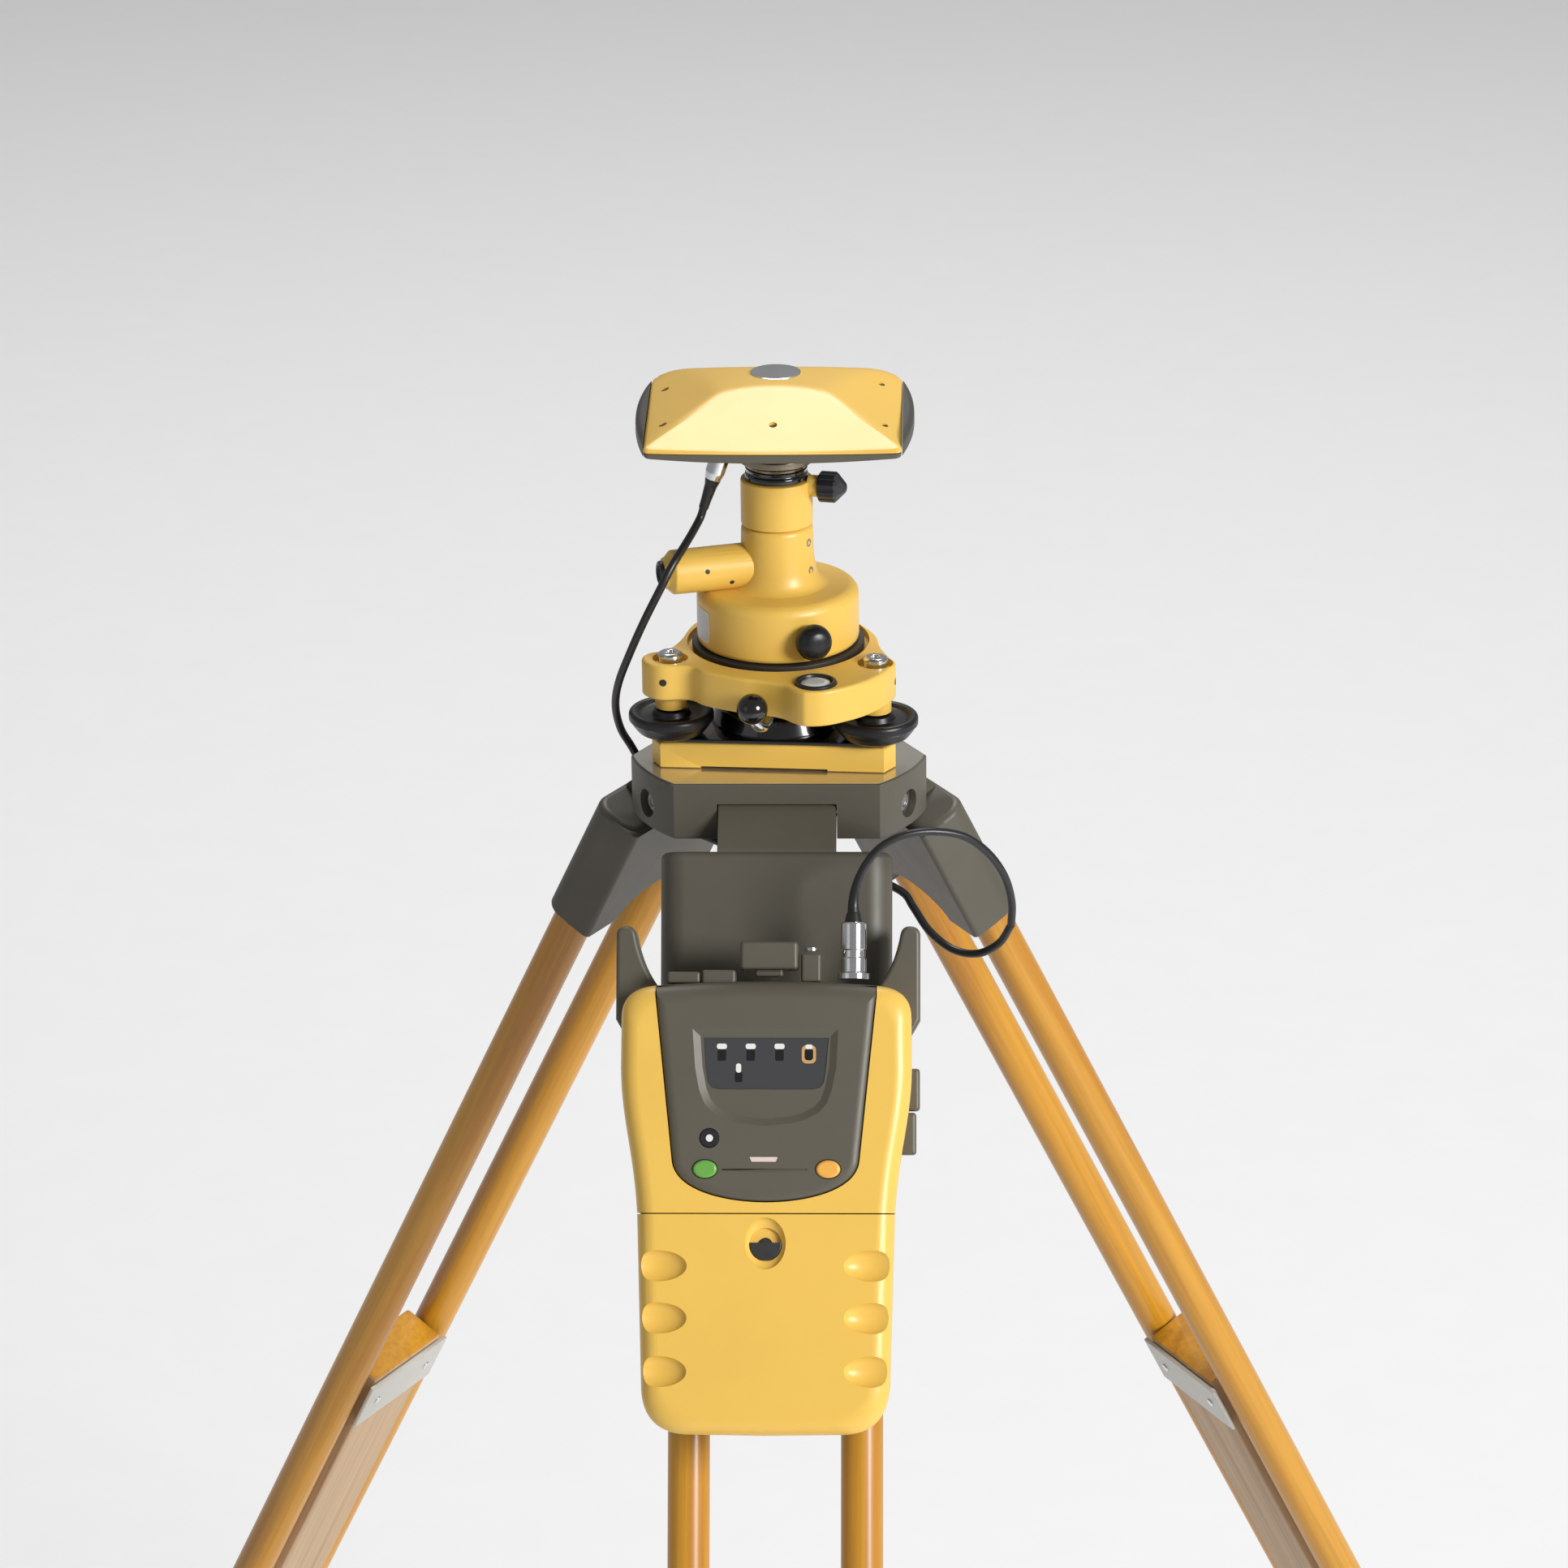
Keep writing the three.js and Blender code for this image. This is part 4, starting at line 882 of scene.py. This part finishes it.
disc = turned([(41.9, 59), (41.9, 85.4), (38.5, 89), (25, 89.5), (22, 92), (20, 97), (18.8, 106),
               (18.5, 121.7)], 128, 3)
arm = turned([(11.6, 10), (11.5, 56.2), (8.2, 59.4), (7.8, 61)], 72, 0.8)
fuse(disc, place(arm, AT_ARM))
cut(disc, place(rod(5.6, 50, 65, 48), AT_ARM), place(rod(3.4, 33, 50, 24), AT_KNOB))
bevel(disc, 0.5, 3, 35)
make("adapter_casting", disc, HEAD, "adapter", yellow_paint, ["adapter_body"])

cup = turned([(5.2, 50.6), (5.2, 61.3), (6.6, 61.5), (6.4, 62.8), (5.2, 63.3), (4.2, 62.6),
              (4, 61.8)], 48, 0.3)
make("eyepiece_cup", place(cup, AT_ARM), HEAD, "plummet_eyepiece", dark_plastic,
     ["plummet_eyepiece"])
knob = turned([(3, 34.4), (3, 42.8), (6.4, 43.2), (8.9, 45.6), (9.5, 48.6), (8.9, 51.8), (6.6, 54.6),
               (3.4, 55.6), (0, 55.7)], 64, 1.2)
make("adapter_knob", place(knob, AT_KNOB), HEAD, "adapter_clamp_knob", knob_rubber,
     ["adapter_clamp_knob"])

collar = turned([(18.5, 122.2), (18.5, 146.2)], 96, 0.9)
fuse(collar, place(rod(5.6, 17, 22, 48), AT_SLEEVE_KNOB))
cut(collar, rod(14, 125, 160, 64), place(rod(2.9, 8, 30, 24), AT_SLEEVE_KNOB))
bevel(collar, 0.5, 2, 50)
make("adapter_collar", collar, HEAD, "adapter", yellow_paint, ["adapter_sleeve"])

STAR = [(7.2, 22.5), (8, 23.3), (8, 31.2), (7, 32.3), (2.4, 36.5), (1.2, 36.9)]
star = loft([[(x, y, z) for x, y in octagon(radius)] for radius, z in STAR])
fuse(star, rod(2.6, 14.6, 24, 24))
for angle in range(0, 360, 45):
    cut(star, place(rod(0.8, 21, 33, 16), turn(angle, "Z") @ move(7.7, 0, 0)))
make("sleeve_knob", place(star, AT_SLEEVE_KNOB), HEAD, "sleeve_clamp_knob", dark_plastic,
     ["sleeve_clamp_knob"], sharp=25)

lower = turned([(13.5, 126), (13.5, 146.6), (16.3, 146.6), (16.3, 149), (15.4, 150.4), (16.2, 152.4)],
               96, 0.5)
make("stub_ring", lower, HEAD, "adapter", gloss_black, ["antenna_stub"])
upper = turned([(15.6, 152.5), (16.2, 154.4), (19.2, 155.8), (19.3, 159.2), (17.4, 160.3),
                (14, 160.4), (14, 163)], 96, 0.5)
make("stub_nut", upper, HEAD, "adapter", bronze_steel)

# Small fasteners: set screws in the neck, and holes in the arm drawn as flat near-black discs, which are
# painted shade for the holes.
set_screws = []
for height, radius in ((113.6, 18.65), (98.7, 19.8)):
    inside, lip = radius - 1.5, radius - 0.4
    set_screw = turned([(2.1, inside), (2.1, radius + 0.15), (1.1, radius + 0.2), (1.1, lip)], 24, 0.1)
    set_screws.append(place(set_screw, radial(-28, height)))
make("neck_screws", join(*set_screws), HEAD, "adapter", dull_steel)
# Near-black discs on the arm: painted shade standing for its two holes.
dots = []
for along, angle in ((40, 12), (27, -25)):
    spot = AT_ARM @ turn(angle, "Z") @ move(0, 11.45, along) @ turn(-90, "X")
    dots.append(place(rod(1.25, -0.6, 0.2, 20, 0.1), spot))
make("arm_hole_shade", join(*dots), HEAD, "adapter", dark_seal_screws_and_hole_shade)


def side_plate(first, last, low, high, corner, outside):
    """A thin blank plate with rounded corners, bent round the disc's side."""
    span = math.radians(last - first) * 42
    rings = []
    for k in range(25):
        u = span * (0.5 - 0.5 * math.cos(math.pi * k / 24))
        near = corner - min(u, span - u, corner)
        drop = corner - math.sqrt(corner * corner - near * near)
        a = math.radians(first) + u / 42
        foot, top = low + drop, high - drop
        section = ((41.6, foot), (outside, foot), (outside, top), (41.6, top))
        rings.append([(r * math.cos(a), r * math.sin(a), z) for r, z in section])
    return loft(rings)


border = side_plate(-167, -146, 63.5, 80.5, 2.2, 42.15)
make("blank_plate", border, HEAD, "adapter", label_white)
field = side_plate(-165.8, -147.2, 64.4, 79.6, 1.6, 42.25)
make("plate_field", field, HEAD, "adapter", label_silver)

# ---------------------------------------------------------------- antenna


def antenna_plan(distance=0, bulge=0):
    side, front, back = 64.5 - distance, -66 + distance, 66 - distance
    outline = Outline(-side, front + 4)
    outline.quad(-side, front + 1, -side + 3, front + 0.6, 6).quad(0, front - 3.4, side - 3, front + 0.6, 18)
    outline.quad(side, front + 1, side, front + 4, 6)
    outline.cubic(side + bulge, front + 40, side + bulge, 8, side, 34, 18)
    outline.cubic(side - 0.6, 56, side - 6, back, side - 22, back, 14).line(-side + 22, back)
    outline.cubic(-side + 6, back, -side + 0.6, 56, -side, 34, 14)
    outline.cubic(-side - bulge, 8, -side - bulge, front + 40, -side, front + 4, 18)
    return outline.close()


def soft_least(values, width):
    """A rounded minimum of several heights."""
    total = sum(math.exp(-v / width) for v in values)
    return -width * math.log(total)


def crown_height(x, y):
    """Slopes that meet in soft creases below a shallow crown, with the back corners rounded off."""
    ends = 181.5 + 0.374 * (66.5 - abs(y))
    sides = 182.4 + 0.075 * (66 + y) + (64.5 - abs(x)) * 0.35
    crown = 200.5 - 0.00225 * x * x - 0.0006 * y * y
    t = min(0.98, max(0, (abs(x) - 42) / 22.5))
    corners = 207.8 - 9.5 * (1 - math.sqrt(1 - t * t)) - 0.406 * y
    return soft_least((ends, sides, crown, corners), 0.35)


def antenna_cover():
    count = len(antenna_plan())
    rings = [[(x, y, z) for x, y in antenna_plan(d)] for d, z in ((2.4, 180.3), (0.3, 180.3), (0, 180.7))]
    for distance, drop in ((0, 1.4), (0.25, 0.65), (0.9, 0.12), (1.6, 0)):
        rings.append([(x, y, max(181, crown_height(x, y) - drop)) for x, y in antenna_plan(distance)])
    last = antenna_plan(1.6)
    for k in range(1, 27):
        t = 1 - k / 27
        rings.append([(x * t, y * t, crown_height(x * t, y * t)) for x, y in last])
    vertices = [p for ring in rings for p in ring] + [(0, 0, crown_height(0, 0))]
    top = len(vertices) - 1
    faces = skin(rings) + [[top - count + k, top - count + (k + 1) % count, top] for k in range(count)]
    faces.append(list(range(count))[::-1])
    return mesh_object(vertices, faces)


COVER_SCREWS = ((-56.5, 8), (-55.5, -40), (0, -46), (55.5, -41), (53.5, 12))
cover = antenna_cover()
for x, y in COVER_SCREWS:
    cut(cover, place(rod(2.1, -1, 6, 24), move(x, y, crown_height(x, y))))
make("antenna_dome", cover, HEAD, "adapter", yellow_plastic, ["antenna_cover"], sharp=50)
screw_head = [(1.9, -1.5), (1.9, -0.7), (0.8, -0.6), (0.8, -0.9)]
heads = [place(turned(screw_head, 24, 0.1), move(x, y, crown_height(x, y))) for x, y in COVER_SCREWS]
make("cover_screws", join(*heads), HEAD, "adapter", dark_seal_screws_and_hole_shade)
disc = turned([(12.9, -0.6), (12.9, 0.25), (12.2, 0.45)], 72, 0.15)
make("cover_disc", place(disc, move(0, 6, crown_height(0, 6) - 0.1)), HEAD, "adapter", bright_steel)

AT_SOCKET = move(-22.5, -1.6, 176) @ turn(18, "Y") @ turn(2, "X")
tray = prism(antenna_plan(0.2), 175.3, 180, 1.4, 0, 3, shrink=lambda d: antenna_plan(0.2 + d))
for vertex in tray.data.vertices:
    if vertex.co.z < 178:
        vertex.co.z += 0.0005 * vertex.co.x ** 2
fuse(tray, rod(17, 163.1, 178, 72, 0.6))
cut(tray, place(rod(7.6, -20, 20, 40), AT_SOCKET))
make("antenna_base", tray, HEAD, "adapter", grey_plastic, ["antenna_tray", "antenna_board"])
bumper = prism(antenna_plan(0, 8.2), 175.8, 186.2, 2.6, 3.4, 5, shrink=lambda d: antenna_plan(d, 8.2))
for vertex in bumper.data.vertices:
    if vertex.co.z > 180:
        vertex.co.z += 0.06 * max(0, vertex.co.y + 20)
cut(bumper, prism(antenna_plan(-0.2), 170, 230))
make("antenna_bumpers", bumper, HEAD, "adapter", bumper_rubber)

plug = turned([(4.4, -32), (5.2, -28), (5.2, -20), (7, -18.5), (7, -3), (5, -1.5), (5, 1)],
              48, 0.5)
for k in range(24):
    cut(plug, place(rod(0.35, -17.5, -4, 8), turn(k * 15, "Z") @ move(7.05, 0, 0)))
make("antenna_connector", plug, HEAD @ AT_SOCKET, "adapter", plug_silver, ["antenna_plug"])
boot = turned([(2.5, -49.2), (2.7, -44), (3.3, -36), (4.2, -32.2)], 40, 0.5)
make("connector_boot", boot, HEAD @ AT_SOCKET, "adapter", cable_rubber)

# ---------------------------------------------------------------- receiver


def receiver_outline(distance=0):
    d = distance
    top, end = -96 - d, -321 + d
    outline = Outline(0, end)
    outline.line(40 - d, end + 0.6).quad(60 - d, end + 2, 61.6 - d, end + 24, 14).line(64 - d, -211)
    outline.cubic(66 - d, -180, 72 - d, -165, 72.4 - d, -140, 14).line(72.2 - d, top - 18)
    outline.quad(72 - d, top - 4, 56 - d, top - 2.4, 12).quad(0, top + 2, -56 + d, top - 2.4, 20)
    outline.quad(-72 + d, top - 4, -72.2 + d, top - 18, 12).line(-72.4 + d, -140)
    outline.cubic(-72 + d, -165, -66 + d, -180, -64 + d, -211, 14).line(-61.6 + d, end + 22)
    outline.quad(-60 + d, end + 2, -40 + d, end + 0.6, 14)
    return outline.close()


def face_outline(distance=0):
    d = distance
    outline = Outline(-54.5 + d, -80).line(-54.5 + d, -104).line(-46 + d, -186)
    outline.cubic(-44 + d, -200 + d, -20, -205.5 + d, 0, -205.5 + d, 16)
    outline.cubic(20, -205.5 + d, 44 - d, -200 + d, 46 - d, -186, 16)
    outline.line(54.5 - d, -104).line(54.5 - d, -80)
    return outline.close()


def housing(v0, v1, rim=9):
    """The receiver's rounded housing between two depths."""
    return standing(receiver_outline(), v0, v1, 0, rim, 8, shrink=receiver_outline)


WIDE = (-200, 200)
LATCH = (0, -226.8)


def front_part(outside, cavity, depth):
    """The housing's front without the heights outside, hollow to that depth over the cavity's heights."""
    part = housing(42, 96)
    cut(part, block(WIDE, (-62.3, 200), (-400, 0)), block(WIDE, WIDE, outside))
    hollow = standing(receiver_outline(2.6), 0, depth)
    return cut(part, common(hollow, block(WIDE, WIDE, cavity)))


shell = front_part((-400, -211.2), (-209.5, 0), 91)
cut(shell, standing(face_outline(-0.5), 87, 200), block((-54.8, 54.8), WIDE, (-99.6, 0)))
bevel(shell, 0.4, 2, 60)
make("receiver_shell", shell, RECEIVER, "leg_front", yellow_plastic, ["front_shell"],
     sharp=24)

battery_door = front_part((-211.8, 0), (-400, -213.5), 90)
for side in (-1, 1):
    for down in (237.3, 263, 289.3):
        at_scoop = move(side * 53, -97.2, -down) @ Matrix.Diagonal((14.5, 6.2, 7.8, 1))
        cut(battery_door, place(ball(1), at_scoop))
bowl = place(ball(1, 48), move(0, -96.6, -226.2) @ Matrix.Diagonal((10.2, 5.4, 12.8, 1)))
cut(battery_door, bowl, standing(ellipse(*LATCH, 8.2, 8.2, 48), 90.8, 200))
cut(battery_door, standing(ellipse(*LATCH, 3.4, 3.4, 32), 80, 200))
bevel(battery_door, 0.5, 3, 35)
make("battery_door", battery_door, RECEIVER, "battery_cover", yellow_plastic,
     ["battery_cover"], sharp=24)

tab = standing(ellipse(*LATCH, 7.8, 7.8, 56), 91.1, 93.4, 0, 0.5, 2)
common(tab, block((-20, 20), (-200, 0), (-400, -225.8)))
fuse(tab, standing(ellipse(*LATCH, 3, 3, 32), 86, 92))
make("door_latch", tab, RECEIVER, "battery_latch", latch_steel, ["battery_latch"])


def domed_face():
    """The control panel's outline with a wide soft edge."""
    rings = [[(x, z, 91.8) for x, z in face_outline()]]
    for k in range(9):
        a = math.pi / 2 * k / 8
        distance, drop = 4.6 * (1 - math.cos(a)), 2.6 * (1 - math.sin(a))
        rings.append([(x, z, 97.2 - drop) for x, z in face_outline(distance)])
    return place(loft(rings), turn(90, "X"))


def sloped_recess(points, width, deep, face):
    """A tool for a shallow recess with sloped walls."""
    points = anticlockwise(points)
    rings = [[(x, z, v) for x, z in inset(points, d)] for d, v in ((width, face - deep), (0, face), (0, 200))]
    return place(loft(rings), turn(90, "X"))


SENSOR_AT = (-27.9, -174.3)
KEY_HEIGHT = -189.6
plate = common(housing(50, 97.2, 9.5), domed_face())
roof = common(housing(50, 97.2, 9.5), block((-54.5, 54.5), (-94, -62.3), (-98.6, 0)))
fuse(plate, roof)
window = [(-36.3, -120.2), (-35, -139.3), (-33, -150.3), (-30.4, -157), (-26.3, -161.6), (-20, -165),
          (-13, -167), (0, -168.3), (13, -167), (20, -165), (26.3, -161.6), (30.4, -157), (32.8, -150.3),
          (35, -139.3), (36, -120.2)]
cut(plate, sloped_recess(window, 3.6, 1.9, 97.2))
SCREEN = [(-30.8, -124.6), (-29.9, -139.7), (-28.8, -146.8), (-26.6, -149.4), (-23, -150.2), (23, -150.2),
          (26.6, -149.4), (28.8, -146.8), (29.9, -139.7), (31.3, -124.6)]
cut(plate, standing(SCREEN, 94.3, 200))
for x in (-30, 31):
    cut(plate, standing(ellipse(x, KEY_HEIGHT, 6.5, 4.9), 60, 200))
cut(plate, standing(ellipse(*SENSOR_AT, 5, 5, 40), 95.6, 200))
bar = [(-8.4, -183.3), (6.6, -183.3), (5.4, -186.3), (-7.2, -186.3)]
cut(plate, standing(bar, 96.3, 200))
groove = Outline(-21.5, -189.4).quad(0, -190.8, 20.5, -189.4, 16)
groove.line(20.5, -190.2).quad(0, -191.7, -21.5, -190.2, 16)
cut(plate, standing(groove.close(), 96.7, 200))
bevel(plate, 0.4, 3, 45)
make("control_panel", plate, RECEIVER, "leg_front", grey_plastic, ["face_plate"], sharp=17)

screen = standing(inset(anticlockwise(SCREEN), 0.1), 93.2, 94.9)
make("panel_screen", screen, RECEIVER, "leg_front", display_black)
marks = []
pale = []
for x in (-21.8, -7.5, 6.8):
    marks.append(standing(rounded(x - 2.1, x + 2.1, -136, -130.1, 0.8, 3), 94.8, 95))
    pale.append(standing(rounded(x - 2.5, x + 2.5, -130.2, -127.5, 1.1, 4), 94.8, 95.05))
marks.append(standing(rounded(19.3, 23.4, -135.7, -129.9, 1.5, 5), 94.8, 95))
marks.append(standing(rounded(-15.3, -11.6, -146.6, -141.6, 0.8, 3), 94.8, 95))
pale.append(standing(rounded(-14.8, -12.2, -141.9, -137.3, 1.2, 5), 94.8, 95.05))
pale.append(standing(rounded(19.6, 23.2, -130.2, -127.9, 1, 4), 94.8, 95.25))
make("lamp_windows", join(*marks), RECEIVER, "leg_front", lamp_dark)
make("lamp_tops", join(*pale), RECEIVER, "leg_front", lamp_white)
amber = standing(rounded(17.8, 24.9, -137.3, -128.2, 2.4, 6), 94.8, 95.15)
cut(amber, standing(rounded(19.2, 23.5, -135.8, -129.8, 1.6, 6), 90, 98))
make("amber_ring", amber, RECEIVER, "leg_front", lamp_amber)
eye_ring = standing(ellipse(*SENSOR_AT, 4.8, 4.8, 40), 95.4, 96.7, 0, 0.5)
cut(eye_ring, standing(ellipse(*SENSOR_AT, 2.3, 2.3, 28), 96, 99))
make("sensor_ring", eye_ring, RECEIVER, "leg_front", dark_plastic)
sensor = standing(ellipse(*SENSOR_AT, 1.9, 1.9, 24), 95.5, 96.5, 0, 0.4)
make("sensor_eye", sensor, RECEIVER, "leg_front", lamp_white)
signal = standing(inset(anticlockwise(bar), 0.25), 96, 96.9, 0, 0.2)
make("signal_bar", signal, RECEIVER, "leg_front", lamp_rose)
for x, name, node, slot, material in ((-30, "green_button", "power_button", "green_key", green_key),
                                      (31, "amber_button", "function_button", "orange_key", orange_key)):
    key = standing(ellipse(x, KEY_HEIGHT, 6.1, 4.5, 40), 89.7, 98.5, 0, 1.6, 5)
    make(name, key, RECEIVER, node, material, [node])

rear = standing(receiver_outline(0.3), 34, 70, 5, 0, 6, shrink=lambda d: receiver_outline(0.3 + d))
cut(rear, block(WIDE, (-200, -62), (-400, 0)))
horn = Outline(66, -150).line(72, -122).line(76.6, -114).line(76.6, -71).quad(76, -67, 71, -67)
horn = horn.quad(67.4, -67.2, 66.6, -71).quad(63.5, -88, 55, -98).line(50, -104).line(50, -150).close()
for side in (-1, 1):
    ear = standing(horn, 38, 62, 2.2, 2.2, 4)
    if side < 0:
        place(ear, Matrix.Diagonal((-1, 1, 1, 1)))
    fuse(rear, ear)
cut(rear, standing(receiver_outline(2.9), 36.6, 200))
bevel(rear, 0.4, 2, 60)
make("receiver_back", rear, RECEIVER, "leg_front", grey_plastic, ["rear_shell"], sharp=50)

# The top's port covers, and the side door in two parts.
lid = fuse(block((-13.3, 15.6), (-84, -62), (-90, -76), 1.6), block((-6, 8), (-78, -68), (-93.2, -88), 1))
make("port_lid", lid, RECEIVER, "port_cap", grey_plastic, ["port_cap"])
flaps = [block((-50, -33.4), (-80, -66), (-96.6, -91), 1.2),
         block((-32.6, -15.6), (-80, -66), (-97, -90), 1.2), block((17, 27), (-80, -66), (-96, -82), 1.2)]
make("port_flaps", join(*flaps), RECEIVER, "leg_front", grey_plastic)
jack = place(turned([(3.4, 80.4), (3.4, 78.6), (2, 78.6), (2, 79.4)], 28, 0.2),
             move(22, -73, 0) @ turn(180, "X"))
make("port_jack", jack, RECEIVER, "leg_front", bright_steel)
doors = [block((68, 76.4), (-72, -54), (-160, -139), 1.6),
         block((66.5, 74.6), (-72, -54), (-182, -161), 1.6)]
make("side_door", join(*doors), RECEIVER, "leg_front", grey_plastic)

AT_PLUG = RECEIVER @ move(43.2, -73, 0)
plug = turned([(8, -94.6), (8, -91.4), (6.4, -91), (6.4, -84), (5.9, -83.6), (5.9, -80),
               (6.4, -79.6), (6.4, -66.6), (5.6, -65.8)], 56, 0.4)
make("receiver_connector", plug, AT_PLUG, "leg_front", plug_silver,
     ["receiver_plug"])
boot = turned([(4.6, -66), (3.9, -63), (3.4, -60.8)], 32, 0.4)
make("receiver_boot", boot, AT_PLUG, "leg_front", cable_rubber)
sleeve_path = spline(LOWER_RUN, 5)[-14:]
make("cable_sleeve", tube(sleeve_path, 2.25, 24, 3.1), HEAD, "leg_front", cable_rubber)

for node, material in (("battery", battery_case), ("main_board", circuit), ("leg_bracket", dull_steel)):
    nodes[node].data.materials.clear()
    nodes[node].data.materials.append(material)
